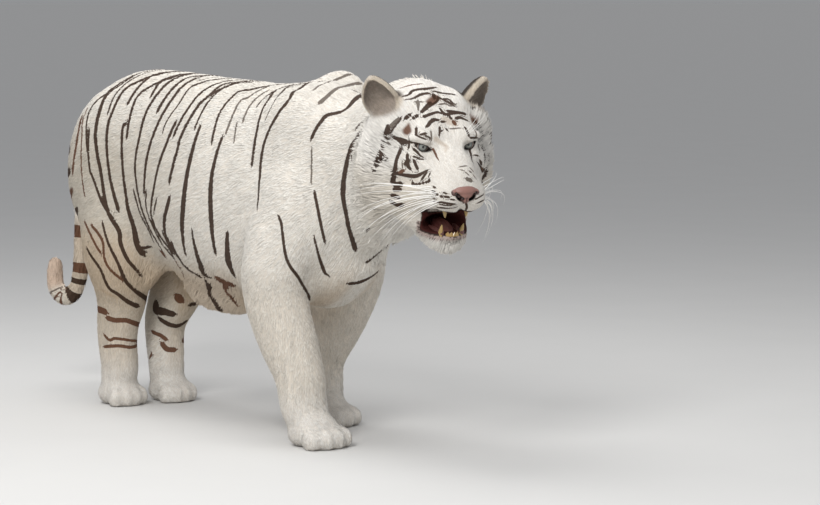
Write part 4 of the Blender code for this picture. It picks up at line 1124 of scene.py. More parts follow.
def coat_colour(place):
    """The fur between the stripes: cream, whiter on head and paws, tan underneath, and painted shade tinted
    tan on the lower rear.
    """
    x, y, z = place.points.T
    hx, hy, hz = place.head_points.T
    off_head = 1 - place.head
    # Painted shade: the lower rear, turned from the light, is darkened and tinted tan
    rear_painted_shade = ramp(-x, -0.25, 0.45) * (1 - ramp(z, 0.66, 0.90)) * ramp(z, 0.10, 0.30)
    cheek = place.head * (1 - ramp(hz, -0.11, -0.03)) * ramp(np.abs(hy), 0.045, 0.085)
    # The fold of skin between the flank and the knee
    flap = ramp(x, -0.58, -0.48) * (1 - ramp(x, -0.30, -0.16)) * (1 - ramp(z, 0.44, 0.56))
    inner = place.leg * (1 - ramp(np.abs(y), 0.03, 0.11))
    reach = place.tail_reach
    colour = layered(
        np.tile(np.array(CREAM), (len(x), 1)),
        (WHITE, 0.8 * place.head + (1 - ramp(z, 0.05, 0.17)) * off_head),
        (SAND, 0.30 * place.leg * ramp(z, 0.06, 0.18) + 0.15 * place.back),
        (PAINTED_SHADE_TAN, 0.72 * rear_painted_shade * off_head * (1 - place.tail)),
        (SAND, 0.45 * (cheek * (1 - ramp(hx, 0.03, 0.07)))),
        (TAN, 0.55 * place.belly),
        (TAN, 0.38 * (flap * ramp(z, 0.26, 0.36)) * off_head),
        (TAN, 0.22 * place.leg * ramp(z, 0.06, 0.18) * (1 - ramp(x, -0.2, 0.0))),
        (TAN, 0.45 * inner * (1 - ramp(z, 0.35, 0.2))),
        (SAND, 0.5 * place.tail),
        (TAIL_TIP, 0.75 * place.tail * ramp(reach, 0.66, 0.70)),
        (TAN, 0.45 * place.tail * ramp(reach, 0.36, 0.42) * (1 - ramp(reach, 0.60, 0.64))),
        (EAR_GREY, 0.85 * place.ear),
    )
    for side in SIDE:
        local = np.array((ear_frame(side)).inverted())
        own = place.points @ local[:3, :3].T + local[:3, 3]
        lx, ly, lz = own.T
        deep, broad, high = EAR_RADII
        here = place.ear * (np.linalg.norm(own, axis=1) < 0.085)
        rise = np.maximum(lz / high, 0)
        wide = (ly - SIDE[side] * 0.005 * rise) / (broad * (1 - EAR_NARROWS * np.minimum(rise, 1)))
        outside = np.sqrt((lx / deep) ** 2 + wide**2 + (lz / high) ** 2)
        back = here * ramp(-lx, 0.000, 0.008) * ramp(outside, 0.80, 0.92)
        rim = here * ramp(np.hypot(wide, lz / high), 0.82, 0.95) * ramp(lx, -0.008, 0.0)
        colour = layered(
            colour,
            (EAR_BACK, back),
            (WHITE, back * (1 - ramp(np.hypot(ly, 1.2 * (lz - 0.012)), 0.011, 0.017))),
            (SAND, 0.7 * rim),
        )
    return colour


def grain_of(place):
    """Coordinates whose first axis runs with the lie of the coat, for its fine streaks."""
    x, y, z = place.points.T
    body = np.stack([x + 0.3 * z, y, z - 0.3 * x], axis=1)
    legs = np.stack([z, x, y], axis=1)
    hp = place.head_points - (0.115, 0, -0.07)
    reach = np.linalg.norm(hp, axis=1)
    turn = np.arctan2(hp[:, 1], hp[:, 2] + 0.02)
    rise = np.arctan2(hp[:, 2], -hp[:, 0])
    head = np.stack([reach, 0.12 * turn, 0.12 * rise], axis=1) + 5
    leg = place.leg[:, None]
    grain = body * (1 - leg) + legs * leg
    use_head = (place.head > 0.5)[:, None]
    return np.where(use_head, head, grain)


# Both lips stand a little into the space between the jaws, more so in front
LIPS = []
for x, top, bottom, *rest in MOUTH:
    ahead = min(1, max(0, x / 0.07))
    LIPS.append((x, top - 0.0065 * ahead, bottom + 0.0085 * ahead, *rest))


def past_mouth(head_points):
    """How far outside the mouth's opening each point of the head is: 0 or less is the lining."""
    hx, hy, hz = head_points.T
    rows = np.array(LIPS).T
    top, bottom, half_width = (np.interp(hx, rows[0], row) for row in rows[1:4])
    beyond = np.maximum(np.maximum(hz - top, bottom - hz), np.abs(hy) - half_width)
    return np.maximum(beyond, rows[0][0] - hx), hz > (top + bottom) / 2


def nose_bed(head_points):
    """Less than 1 within the hollow of the muzzle that the nose's leather sits in."""
    return np.linalg.norm((head_points - NOSE_BED) / NOSE_BED_RADII, axis=1)


def lid_rim(place):
    """1 on the bare dark rims of the lids, and how far round them the pale fur starts."""
    rim = np.zeros(len(place.points))
    for s in SIDE.values():
        ahead, out, up = eye_space(place.head_points, s)
        near = place.head * ramp(ahead, 0.001, 0.006)
        away = lid_line(out + 0.002 * ramp(-out, 0.004, 0.016), up)
        rim = np.maximum(rim, near * (1 - ramp(away, 1.14, 1.36)))
    return rim


def lip_spots(head_points):
    """Dark freckles of the lower lip."""
    waves = np.sin(head_points * (640, 830, 900) + (0, 1, 2))
    waves = waves + np.sin(head_points[:, [1, 2, 0]] * (410, 520, 700))
    return ramp(waves.sum(axis=1), 0.9, 1.5)


def paint(mesh, points, normals, marks):
    """Writes what the coat's material reads: stripes, colours and grain."""
    place = Place(points)
    markings, patches = marks
    side, gap, halves, ink = markings.read(points, normals, place)
    stripe = np.stack([side, gap, halves], axis=1) * 1000
    colour = coat_colour(place)
    inks = np.array(INKS)[ink]
    _, gap, halves, ink = patches.read(points, normals, place)
    strength = np.where(ink == BROWN_INK, 0.95, 0.40)
    fade = strength * (1 - ramp(gap - halves, -0.005, 0.003)) * (place.tail < 0.5)
    colour = layered(colour, (np.array(INKS)[ink], fade))
    beyond, upper = past_mouth(place.head_points)
    lip = np.where(upper, 0.0042, 0.0050)
    spots = lip_spots(place.head_points)
    bare = (
        (LID_BLACK, lid_rim(place)),
        (LIP_PALE, 0.7 * place.head * ~upper * (1 - ramp(beyond, 0.010, 0.019))),
        (LIP_BLACK, 0.8 * place.head * ~upper * (1 - ramp(beyond, 0.013, 0.020)) * spots),
        (LIP_BLACK, place.head * (1 - ramp(beyond, 0.75 * lip, 1.15 * lip))),
        # Painted shade of the mouth's inside, over the lining's own colour
        (SHADED_LINING, place.head * (1 - ramp(beyond, 0.0004, 0.0018))),
        (LID_BLACK, place.head * (1 - ramp(nose_bed(place.head_points), 1.02, 1.14))),
    )
    colour = layered(colour, *bare)
    inks = layered(inks, *bare)
    for name, values in (("stripe", stripe), ("tone", colour), ("ink", inks), ("grain", grain_of(place))):
        set_vectors(mesh, name, values)


# ---- Coat ------------------------------------------------------------------------------------
def lie(place, normals):
    """Which way the hair lies: back from the nose over head and body, down the legs, and along the tail."""
    from_nose = unit(place.head_points - (0.125, 0, -0.075)) @ np.array(HEAD.to_3x3().normalized()).T
    x, y, z = place.points.T
    body = unit(np.stack([-np.ones_like(x), 0 * x, -0.30 - 0.4 * (1 - ramp(z, 0.5, 0.8))], axis=1))
    down = np.tile((-0.15, 0, -1.0), (len(x), 1))
    heading = body * (1 - place.leg)[:, None] + down * place.leg[:, None]
    belly = np.tile((-0.4, 0, -0.6), (len(x), 1))
    heading += belly * place.belly[:, None]
    toes = np.tile((0.5, 0, -0.4), (len(x), 1))
    heading = heading * (1 - place.paw)[:, None] + toes * place.paw[:, None]
    heading = heading * (1 - place.head)[:, None] + from_nose * place.head[:, None]
    heading = heading * (1 - place.tail)[:, None] + place.tail_heading * place.tail[:, None]
    heading -= normals * (heading * normals).sum(axis=1)[:, None]
    return unit(heading)


def tuft_size(place):
    """Length, width and how far the tip rises, of the tufts at each point."""
    length = 0.017 - 0.006 * place.leg - 0.004 * place.paw + 0.004 * place.chest + 0.002 * place.back
    width = 0.0027 - 0.0006 * place.leg - 0.0004 * place.paw
    rise = 0.06 + 0.04 * place.leg
    mix = place.head
    length = length * (1 - mix) + mix * (0.0105 - 0.0045 * place.face - 0.0015 * place.muzzle)
    width = width * (1 - mix) + mix * (0.0017 - 0.0004 * place.face)
    for weight, long, wide, lift in (
        (place.fringe, 0.030, 0.0022, 0.36),
        (place.ruff, 0.042, 0.0034, 0.26),
        (place.throat, 0.038, 0.0034, 0.24),
        (place.chin, 0.022, 0.0020, 0.38),
        (place.belly, 0.034, 0.0034, 0.22),
        (place.tail, 0.020, 0.0030, 0.16),
        (place.ear, 0.008, 0.0016, 0.14),
    ):
        length = length + (long - length) * weight
        width = width + (wide - width) * weight
        rise = rise + (lift - rise) * weight
    length = length * (1 - 0.5 * place.tail * ramp(place.tail_reach, 0.74, 0.79))
    return length, width, rise


def density_of(place):
    """Tufts for each square metre of skin."""
    density = 27000 + 13000 * place.leg + 20000 * place.paw + 10000 * place.belly + 15000 * place.tail
    density = density * (1 - place.head) + place.head * (110000 + 60000 * place.face)
    density = density + (70000 - density) * np.maximum(place.ruff, place.throat)
    return density + (160000 - density) * place.ear


TUFT_SCATTER = 0.16  # of the way that a tuft points, to either side
TUFTS_PER_LOCK = 14
TUFTS_PER_PIECE = 21000
COAT_SEED = 7


def make_coat(skin_points, skin_normals, faces, tree, keep_out, markings):
    """Scatters tufts over the skin, gathers them in locks, and makes the coat's pieces."""
    rng = np.random.default_rng(COAT_SEED)
    corners = skin_points[faces]
    cross = np.cross(corners[:, 1] - corners[:, 0], corners[:, 2] - corners[:, 0])
    area = np.linalg.norm(cross, axis=1) / 2
    middles = corners.mean(axis=1)
    place = Place(middles)
    expected = area * density_of(place)
    expected[keep_out(middles)] = 0
    counts = rng.poisson(expected)
    chosen = np.repeat(np.arange(len(faces)), counts)
    a, b = rng.random((2, len(chosen)))
    flip = a + b > 1
    a, b = np.where(flip, 1 - a, a), np.where(flip, 1 - b, b)
    weights = np.stack([1 - a - b, a, b], axis=1)
    roots = (corners[chosen] * weights[:, :, None]).sum(axis=1)
    normals = unit((skin_normals[faces[chosen]] * weights[:, :, None]).sum(axis=1))
    place = Place(roots)
    heading = lie(place, normals)
    side = np.cross(normals, heading)
    heading = unit(heading + side * rng.normal(0, TUFT_SCATTER, len(roots))[:, None])
    side = unit(np.cross(normals, heading))
    length, width, rise = tuft_size(place)
    length = length * rng.uniform(0.7, 1.25, len(roots))
    width = width * rng.uniform(0.75, 1.2, len(roots))
    rise = rise * rng.uniform(0.6, 1.4, len(roots))
    mids = followed(tree, roots, normals, heading, length * 0.52, length * rise * 0.62)
    tips = followed(tree, roots, normals, heading, length, length * rise)
    # Locks: tufts lean towards the tip of the one in their middle, and some locks stand higher than others
    middle = rng.permutation(len(roots))[: len(roots) // TUFTS_PER_LOCK]
    locks = kd_of(roots[middle])
    lock = middle[np.array([locks.find(root)[1] for root in roots])]
    shaggy = np.maximum.reduce([place.ruff, place.throat, place.chin, place.belly])
    pull = 0.22 + 0.35 * shaggy - 0.12 * place.face
    pull = (pull * (np.linalg.norm(roots - roots[lock], axis=1) < 0.6 * length + 0.006))[:, None]
    proud = (rng.uniform(-0.5, 1.0, len(roots))[lock] * (0.06 + 0.08 * pull[:, 0]) * length)[:, None]
    shift = tips[lock] + 0.45 * (roots - roots[lock]) - tips
    tips = tips + pull * shift + proud * normals
    mids = mids + 0.35 * pull * shift + 0.4 * proud * normals
    regions = {
        "coat_head": place.head * (1 - place.ear) > 0.5,
        "coat_ears": place.head * place.ear >= 0.5,
        "coat_tail": place.tail > 0.5,
    }
    rest = ~np.any(list(regions.values()), axis=0)
    x, y = roots[:, 0], roots[:, 1]
    regions["coat_fore_right"] = rest & (x > 0.15) & (y < 0)
    regions["coat_fore_left"] = rest & (x > 0.15) & (y >= 0)
    regions["coat_hind_right"] = rest & (x <= 0.15) & (y < 0)
    regions["coat_hind_left"] = rest & (x <= 0.15) & (y >= 0)
    made = []
    for name, inside in regions.items():
        index = np.flatnonzero(inside)
        parts = max(1, math.ceil(len(index) / TUFTS_PER_PIECE))
        # Lengths along the body share a region that is too many tufts for one piece
        order = index[np.argsort(roots[index, 0] if "head" not in name else place.head_points[index, 0])]
        for k, some in enumerate(np.array_split(order, parts)):
            title = name if parts == 1 else f"{name}_{k + 1}"
            made.append(tuft_mesh(title, roots, normals, side, mids, tips, width, some, place, markings))
    return made


def followed(tree, roots, normals, heading, reach, height):
    """Points this far along the coat and this high over the skin, so that the tufts bend with the body."""
    aims = roots + heading * reach[:, None]
    out = np.empty_like(aims)
    for i, aim in enumerate(aims):
        hit, normal, _, gap = tree.find_nearest(aim)
        if hit is None or gap > 0.55 * reach[i] or np.dot(normal, normals[i]) < 0.35:
            out[i] = aim + normals[i] * height[i]
        else:
            out[i] = np.array(hit) + np.array(normal) * height[i]
    return out


BLADE_POINTS = 7
BLADE = [(0, 3, 5), (0, 5, 2), (1, 2, 5), (1, 5, 4), (0, 1, 4), (0, 4, 3), (3, 6, 5), (4, 5, 6), (3, 4, 6)]


def tuft_mesh(name, roots, normals, side, mids, tips, width, some, place, markings):
    """One coat piece: a thin three-sided blade for each tuft."""
    count = len(some)
    up = normals[some]
    across = side[some] * width[some][:, None]
    base = roots[some] - up * 0.0004
    mid = mids[some]
    thick = up * width[some][:, None] * 0.30
    foot, waist = across * 0.42, across * 0.50
    points = np.stack(
        [base - foot, base + foot, base + thick, mid - waist, mid + waist, mid + thick, tips[some]], axis=1
    )
    points[:, :, 2] = np.maximum(points[:, :, 2], FLOOR + 0.0005)
    faces = (np.array(BLADE)[None] + BLADE_POINTS * np.arange(count)[:, None, None]).reshape(-1, 3)
    lean = 0.7 * side[some]
    shading = np.stack([up - lean, up + lean, up, up - lean, up + lean, up, up], axis=1).reshape(-1, 3)
    flat = points.reshape(-1, 3)
    mesh = mesh_from(name, flat, faces)
    paint(mesh, flat, np.repeat(up, BLADE_POINTS, axis=0), markings)
    lay_out(mesh, faces, chart(place, some, name))
    mesh.shade_smooth()
    mesh.normals_split_custom_set_from_vertices(unit(shading).astype(np.float32))
    return placed(name, mesh)


def mesh_from(name, points, faces):
    mesh = bpy.data.meshes.new(name)
    mesh.vertices.add(len(points))
    mesh.vertices.foreach_set("co", floats(points))
    mesh.loops.add(faces.size)
    mesh.loops.foreach_set("vertex_index", faces.astype(np.int32).ravel())
    mesh.polygons.add(len(faces))
    mesh.polygons.foreach_set("loop_start", np.arange(0, faces.size, 3, dtype=np.int32))
    mesh.update(calc_edges=True)
    return mesh


def chart(place, some, name):
    """Where each root lies on an unwrap of the skin: how far along body or limb, and the angle round it."""
    x, y, z = place.points[some].T
    hx, hy, hz = place.head_points[some].T
    if "head" in name or "ears" in name:
        return hx, np.arctan2(hy, hz + 0.06)
    if "tail" in name:
        return place.tail_reach[some], np.arctan2(y + 0.02, x + 0.74)
    low = z < 0.42
    round_leg = np.arctan2(y - 0.1 * np.sign(y), x % 0.75 - 0.35)
    round_trunk = np.arctan2(z - 0.65, np.abs(y))
    return np.where(low, 2 + z, x), np.where(low, round_leg, round_trunk)


PATCH_HALF = 0.0015  # of a tuft's patch on the UV map


def lay_out(mesh, faces, place_on):
    """A patch for each tuft where its root lies on the unwrap, stretched to fill the square evenly."""
    u, v = place_on
    count = len(u)
    columns = max(1, math.ceil(math.sqrt(count)))
    order = np.argsort(u, kind="stable")
    cell_u = np.empty(count)
    cell_v = np.empty(count)
    for k, column in enumerate(np.array_split(order, columns)):
        ranked = column[np.argsort(v[column], kind="stable")]
        cell_u[ranked] = (k + 0.5) / columns
        cell_v[ranked] = (np.arange(len(ranked)) + 0.5) / len(ranked)
    patch = PATCH_HALF * np.array([(-1, -1), (1, -1), (0, -0.8), (-1, 0), (1, 0), (0, 0.2), (0, 1)])
    uv = np.stack([cell_u, cell_v], axis=1)[:, None] + patch[None]
    layer = mesh.uv_layers.new(name="OFBake")
    layer.data.foreach_set("uv", floats(uv.reshape(-1, 2)[faces.ravel()]))


# ---- Materials -------------------------------------------------------------------------------
class Nodes:
    """A material's nodes, made and linked in a few words."""

    def __init__(self, name):
        self.material = bpy.data.materials.new(name)
        self.material.use_nodes = True
        self.tree = self.material.node_tree
        self.shader = self.tree.nodes["Principled BSDF"]

    def surface(self, colour, roughness, specular=None):
        self.link(colour, self.shader.inputs["Base Color"])
        self.shader.inputs["Roughness"].default_value = roughness
        if specular is not None:
            self.shader.inputs["Specular IOR Level"].default_value = specular
        return self.material

    def lit_tone(self, light):
        """The tone painted on the mesh, times this light."""
        shade = self.tree.nodes.new("ShaderNodeVectorMath")
        shade.operation = "SCALE"
        self.link(self.attribute("tone"), shade.inputs[0])
        self.link(light, shade.inputs["Scale"])
        return shade.outputs[0]

    def object_noise(self, scale, detail):
        coordinates = self.tree.nodes.new("ShaderNodeTexCoord")
        return self.noise(coordinates.outputs["Object"], scale, detail)

    def link(self, source, target):
        self.tree.links.new(source, target)

    def put(self, value, socket):
        if isinstance(value, (int, float, tuple)):
            socket.default_value = value
        else:
            self.link(value, socket)

    def attribute(self, name):
        node = self.tree.nodes.new("ShaderNodeAttribute")
        node.attribute_name = name
        return node.outputs["Vector"]

    def parts(self, vector):
        node = self.tree.nodes.new("ShaderNodeSeparateXYZ")
        self.link(vector, node.inputs[0])
        return node.outputs

    def math(self, operation, a, b=0.0):
        node = self.tree.nodes.new("ShaderNodeMath")
        node.operation = operation
        self.put(a, node.inputs[0])
        self.put(b, node.inputs[1])
        return node.outputs[0]

    def noise(self, vector, scale, detail=2.0, stretch=None):
        if stretch:
            mapping = self.tree.nodes.new("ShaderNodeMapping")
            mapping.inputs["Scale"].default_value = stretch
            self.link(vector, mapping.inputs[0])
            vector = mapping.outputs[0]
        node = self.tree.nodes.new("ShaderNodeTexNoise")
        self.link(vector, node.inputs["Vector"])
        node.inputs["Scale"].default_value = scale
        node.inputs["Detail"].default_value = detail
        return node.outputs[0]

    def spread(self, value, low, high, to_low=0.0, to_high=1.0, smooth=False):
        node = self.tree.nodes.new("ShaderNodeMapRange")
        if smooth:
            node.interpolation_type = "SMOOTHSTEP"
        self.link(value, node.inputs[0])
        for socket, number in zip(node.inputs[1:5], (low, high, to_low, to_high)):
            socket.default_value = number
        return node.outputs[0]

    def mix(self, factor, a, b, kind="MIX"):
        node = self.tree.nodes.new("ShaderNodeMix")
        node.data_type = "RGBA"
        node.blend_type = kind
        self.put(factor, node.inputs[0])
        self.put(a, node.inputs[6])
        self.put(b, node.inputs[7])
        return node.outputs[2]

    def bump(self, height, strength, distance):
        node = self.tree.nodes.new("ShaderNodeBump")
        node.inputs["Strength"].default_value = strength
        node.inputs["Distance"].default_value = distance
        self.link(height, node.inputs["Height"])
        self.link(node.outputs[0], self.shader.inputs["Normal"])


def coat_material(name, depth=1.0):
    """Hair: the tone, streaked along its lie, under stripes whose edges break up into hairs."""
    nodes = Nodes(name)
    across, gap, halves = nodes.parts(nodes.attribute("stripe"))
    grain = nodes.attribute("grain")
    fine = nodes.noise(grain, 1.0, 3.0, (28, 420, 420))
    broad = nodes.noise(grain, 1.0, 2.0, (9, 60, 60))
    ragged = nodes.math("MULTIPLY", nodes.math("SUBTRACT", fine, 0.5), 2.4)
    # Distances are in mm. Past a stroke's end the plain distance takes over, so that the end is round
    reach = nodes.math("MAXIMUM", nodes.math("ABSOLUTE", across), nodes.math("SUBTRACT", gap, 5.5))
    edge = nodes.math("ADD", nodes.math("SUBTRACT", reach, halves), ragged)
    inked = nodes.spread(edge, -0.7, 0.7, 1.0, 0.0, smooth=True)
    inked = nodes.math("MULTIPLY", inked, 0.96)
    light = nodes.spread(fine, 0.3, 0.7, 1 - 0.16, 1 + 0.08)
    patchy = nodes.spread(broad, 0.3, 0.7, 0.93, 1.04)
    colour = nodes.mix(inked, nodes.lit_tone(nodes.math("MULTIPLY", light, patchy)), nodes.attribute("ink"))
    # Painted shade: below 1, depth darkens the colour and warms it a little, as the shade under the tufts on
    # the skin
    if depth != 1.0:
        colour = nodes.mix(1.0, colour, (depth, depth * 0.97, depth * 0.94, 1), "MULTIPLY")
    nodes.shader.inputs["Sheen Weight"].default_value = 0.0
    nodes.bump(fine, 0.35, 0.0012)
    return nodes.surface(colour, 0.78, 0.12)


def toned_material(name, roughness, specular, grain):
    """Colour from the tone painted on the mesh, with the fine grain of leather where there is any."""
    nodes = Nodes(name)
    mottle = nodes.object_noise(900.0, 2.0)
    light = nodes.spread(mottle, 0.3, 0.7, 1 - 0.5 * grain, 1 + 0.2 * grain)
    if grain:
        nodes.bump(mottle, grain, 0.0008)
    return nodes.surface(nodes.lit_tone(light), roughness, specular)


def plain_material(name, colour, roughness, streaks=0.1, scale=60.0):
    """One colour, mottled a little."""
    nodes = Nodes(name)
    mottle = nodes.object_noise(scale, 3.0)
    darker = tuple(channel * (1 - streaks) for channel in colour) + (1,)
    lighter = tuple(min(1.0, channel * (1 + streaks)) for channel in colour) + (1,)
    nodes.bump(mottle, 0.15, 0.001)
    return nodes.surface(nodes.mix(mottle, darker, lighter), roughness)


# ---- Stage -----------------------------------------------------------------------------------
FLOOR_SIZE = 5000  # wide enough that its edge can't be seen


def make_stage():
    """A plain pale floor, a grey studio round it, three soft lights and the camera."""
    bm = bmesh.new()
    bmesh.ops.create_grid(bm, x_segments=1, y_segments=1, size=FLOOR_SIZE)
    floor = new_object("floor", bm, bpy.context.scene.collection)
    floor.data.materials.append(plain_material("floor", (0.62, 0.61, 0.59), 0.9, 0.02, 3.0))
    bpy.context.scene.view_settings.view_transform = "Standard"
    world = bpy.data.worlds.new("studio")
    bpy.context.scene.world = world
    world.use_nodes = True
    tree = world.node_tree
    direction = tree.nodes.new("ShaderNodeTexCoord")
    height = tree.nodes.new("ShaderNodeSeparateXYZ")
    tree.links.new(direction.outputs["Generated"], height.inputs[0])
    sky = tree.nodes.new("ShaderNodeValToRGB")
    sky.color_ramp.elements[0].color = (0.515, 0.525, 0.540, 1)
    sky.color_ramp.elements[1].color = (0.80, 0.82, 0.86, 1)
    sky.color_ramp.elements[1].position = 0.35
    tree.links.new(height.outputs[2], sky.inputs[0])
    tree.links.new(sky.outputs[0], tree.nodes["Background"].inputs[0])
    tree.nodes["Background"].inputs[1].default_value = 0.55
    for name, at, aim, size, power in (
        ("key", (2.6, -3.6, 3.6), (0.1, 0, 0.6), 2.0, 190),
        ("fill", (4.2, 2.4, 1.8), (0.3, 0, 0.6), 2.6, 22),
        ("top", (-0.8, -0.6, 4.2), (0, 0, 0.6), 3.0, 95),
    ):
        light = bpy.data.lights.new(name, "AREA")
        light.shape = "DISK"
        light.size = size
        light.energy = power
        obj = placed(name, light)
        obj.location = at
        obj.rotation_euler = (Vector(aim) - Vector(at)).to_track_quat("-Z", "Y").to_euler()
    camera = placed("camera", bpy.data.cameras.new("camera"))
    camera.location = Vector((6.154, -4.362, 1.126)) + SHIFT
    camera.rotation_euler = (math.radians(84.9), 0, math.radians(51))
    camera.data.lens = 122.93
    camera.data.clip_end = 4 * FLOOR_SIZE
    bpy.context.scene.camera = camera


# ---- Eyes, nose, gums and whiskers -----------------------------------------------------------
def make_eyeballs():
    """Pale blue-grey irises with small pupils, under a cornea that bulges a little."""
    made = []
    for side, s in SIDE.items():
        bm = bmesh.new()
        bmesh.ops.create_uvsphere(bm, u_segments=128, v_segments=96, radius=1)
        mesh = new_object(f"eyeball_{side}", bm, bpy.context.scene.collection)
        points = np.array([vert.co for vert in mesh.data.vertices])
        angle = np.degrees(np.arccos(np.clip(points[:, 2], -1, 1)))
        around = np.arctan2(points[:, 1], points[:, 0])
        points *= (EYE_RADIUS / HEAD_SCALE * (1 + 0.030 * (1 - ramp(angle, 8, 34))))[:, None]
        aside, up = GAZE
        gaze = Matrix.Rotation(math.radians(aside), 4, "Z") @ Matrix.Rotation(math.radians(90 - up), 4, "Y")
        place = np.array(eye_frame(s) @ gaze)
        mesh.data.vertices.foreach_set("co", floats(points @ place[:3, :3].T + place[:3, 3]))
        streak = sum(np.sin(k * around + k * k) for k in (7, 12, 19, 31, 47)) / 5
        colour = np.tile((0.22, 0.17, 0.14), (len(points), 1))
        colour = layered(colour, ((0.030, 0.030, 0.034), 1 - ramp(angle, 33, 36)))
        iris = np.array((0.215, 0.225, 0.205)) * (1 + 0.22 * streak[:, None])
        iris = iris * (1.12 - 0.012 * (angle - 10))[:, None]
        colour = layered(
            np.where((angle < 31)[:, None], iris, colour),
            ((0.05, 0.06, 0.07), ramp(angle, 27, 31) * (angle < 36)),
            ((0.004, 0.004, 0.005), 1 - ramp(angle, 8.5, 10.5)),
        )
        set_vectors(mesh.data, "tone", np.clip(colour, 0, 1))
        mesh.data.shade_smooth()
        mesh.data.materials.append(toned_material(f"eyeball_{side}", 0.04, 0.6, 0.0))
        made.append((mesh, f"eye_{side}", "eye"))
    return made


def make_nose_leather(helpers):
    """The leather of the nose, with comma-shaped nostrils."""
    bm = bmesh.new()
    for at, radii, turn in (
        ((0.101, 0.000, -0.0655), (0.0225, 0.0285, 0.0110), (0, 0, 0)),
        ((0.106, 0.000, -0.0735), (0.0180, 0.0205, 0.0115), (0, 0, 0)),
        ((0.107, 0.000, -0.0825), (0.0155, 0.0100, 0.0120), (0, 0, 0)),
        ((0.101, 0.021, -0.0690), (0.0185, 0.0095, 0.0085), (0, 0, 28)),
        ((0.101, -0.021, -0.0690), (0.0185, 0.0095, 0.0085), (0, 0, -28)),
    ):
        add_muscle(bm, at, radii, turn, frame=HEAD, subdivisions=5)
    mesh = evaluated(fused("nose_leather", bm, helpers, 0.0010, 12))
    points, normals, _ = arrays(mesh)
    hp = in_head(points)
    colour = np.tile((0.255, 0.128, 0.104), (len(points), 1))
    sink = np.zeros(len(points))
    flat = hp[:, 1:]
    for s in (1, -1):
        # The nostril is a comma: round by the middle, with a slit that runs out and up under the wing
        inner, outer = np.array((s * 0.0090, -0.0805)), np.array((s * 0.0245, -0.0675))
        share = np.clip(((flat - inner) @ (outer - inner)) / ((outer - inner) @ (outer - inner)), 0, 1)
        gap = np.linalg.norm(flat - inner - share[:, None] * (outer - inner), axis=1)
        wide = 0.0034 - 0.0012 * share
        sink = np.maximum(sink, (0.0070 - 0.004 * share) * (1 - ramp(gap / wide, 0.4, 1.25)))
        below = (flat - inner) @ np.array((s * 0.64, -0.77))
        # Painted shade: each nostril's opening is painted nearly black for the shade inside the hole; away
        # from the middle, the leather below the slit is darker
        colour = layered(
            colour,
            ((0.022, 0.010, 0.009), 1 - ramp(gap / wide, 0.85, 1.5)),
            ((0.055, 0.028, 0.024), 0.85 * ramp(below, -0.0005, 0.0025) * (s * flat[:, 0] > 0.004)),
        )
    cleft = (1 - ramp(np.abs(hp[:, 1]), 0.0008, 0.0026)) * (1 - ramp(hp[:, 2], -0.080, -0.072))
    sink = np.maximum(sink, 0.0022 * cleft)
    colour = layered(
        colour,
        ((0.07, 0.035, 0.03), 0.8 * cleft),
        ((0.07, 0.038, 0.032), 0.85 * (1 - ramp(hp[:, 2], -0.094, -0.087))),
        ((0.20, 0.105, 0.085), 0.6 * (1 - ramp(hp[:, 0], 0.096, 0.112))),
    )
    points -= normals * (sink * HEAD_SCALE)[:, None]
    mesh.vertices.foreach_set("co", floats(points))
    set_vectors(mesh, "tone", colour)
    mesh.shade_smooth()
    mesh.materials.append(toned_material("nose_leather", 0.42, 0.45, 0.35))
    return placed("nose_leather", mesh)


# Roots of the whiskers on the right pad, and where each ends, on the head's own axes
WHISKERS = [
    (0.092, -0.072, (-0.030, -0.165, -0.085)),
    (0.080, -0.070, (-0.060, -0.185, -0.105)),
    (0.068, -0.068, (-0.085, -0.175, -0.130)),
    (0.098, -0.080, (-0.005, -0.150, -0.130)),
    (0.086, -0.080, (-0.040, -0.178, -0.165)),
    (0.074, -0.079, (-0.075, -0.180, -0.180)),
    (0.062, -0.078, (-0.090, -0.160, -0.205)),
    (0.102, -0.089, (0.015, -0.130, -0.165)),
    (0.091, -0.090, (-0.015, -0.155, -0.205)),
    (0.079, -0.090, (-0.045, -0.165, -0.225)),
    (0.067, -0.089, (-0.065, -0.150, -0.240)),
    (0.098, -0.098, (0.030, -0.110, -0.190)),
    (0.086, -0.099, (0.010, -0.125, -0.230)),
    (0.074, -0.099, (-0.015, -0.130, -0.250)),
    (0.089, -0.076, (-0.045, -0.190, -0.125)),
    (0.077, -0.084, (-0.062, -0.188, -0.195)),
    (0.095, -0.094, (0.005, -0.140, -0.185)),
    (0.083, -0.095, (-0.030, -0.150, -0.235)),
]
BROW_WHISKERS = [
    (0.010, 0.034, (-0.010, -0.085, 0.085)),
    (0.004, 0.036, (-0.030, -0.100, 0.075)),
    (0.016, 0.032, (0.015, -0.075, 0.085)),
]


def make_gums(helpers):
    """Flesh round the roots of the lower teeth."""
    bm = bmesh.new()
    for node, low, radii in (
        ("canine_lower_left", 0.0050, (0.0080, 0.0070, 0.0085)),
        ("canine_lower_right", 0.0050, (0.0080, 0.0070, 0.0085)),
        ("incisors_lower", 0.0035, (0.0065, 0.0190, 0.0065)),
    ):
        x, y, z = in_head(np.array([centre(node) - SHIFT]))[0]
        add_muscle(bm, (x - 0.001, y, z - low), radii, frame=HEAD, subdivisions=4)
        if abs(y) > 0.01:
            root, turn = (x - 0.024, 1.05 * y, z - 0.009), (0, 3, -8 * np.sign(y))
            add_muscle(bm, root, (0.030, 0.0065, 0.0070), turn, frame=HEAD, subdivisions=4)
    mesh = evaluated(fused("gums", bm, helpers, 0.0012, 6))
    mesh.shade_smooth()
    mesh.materials.append(plain_material("gums", (0.120, 0.046, 0.040), 0.35))
    return placed("gums", mesh)


WHISKER_SEED = 3


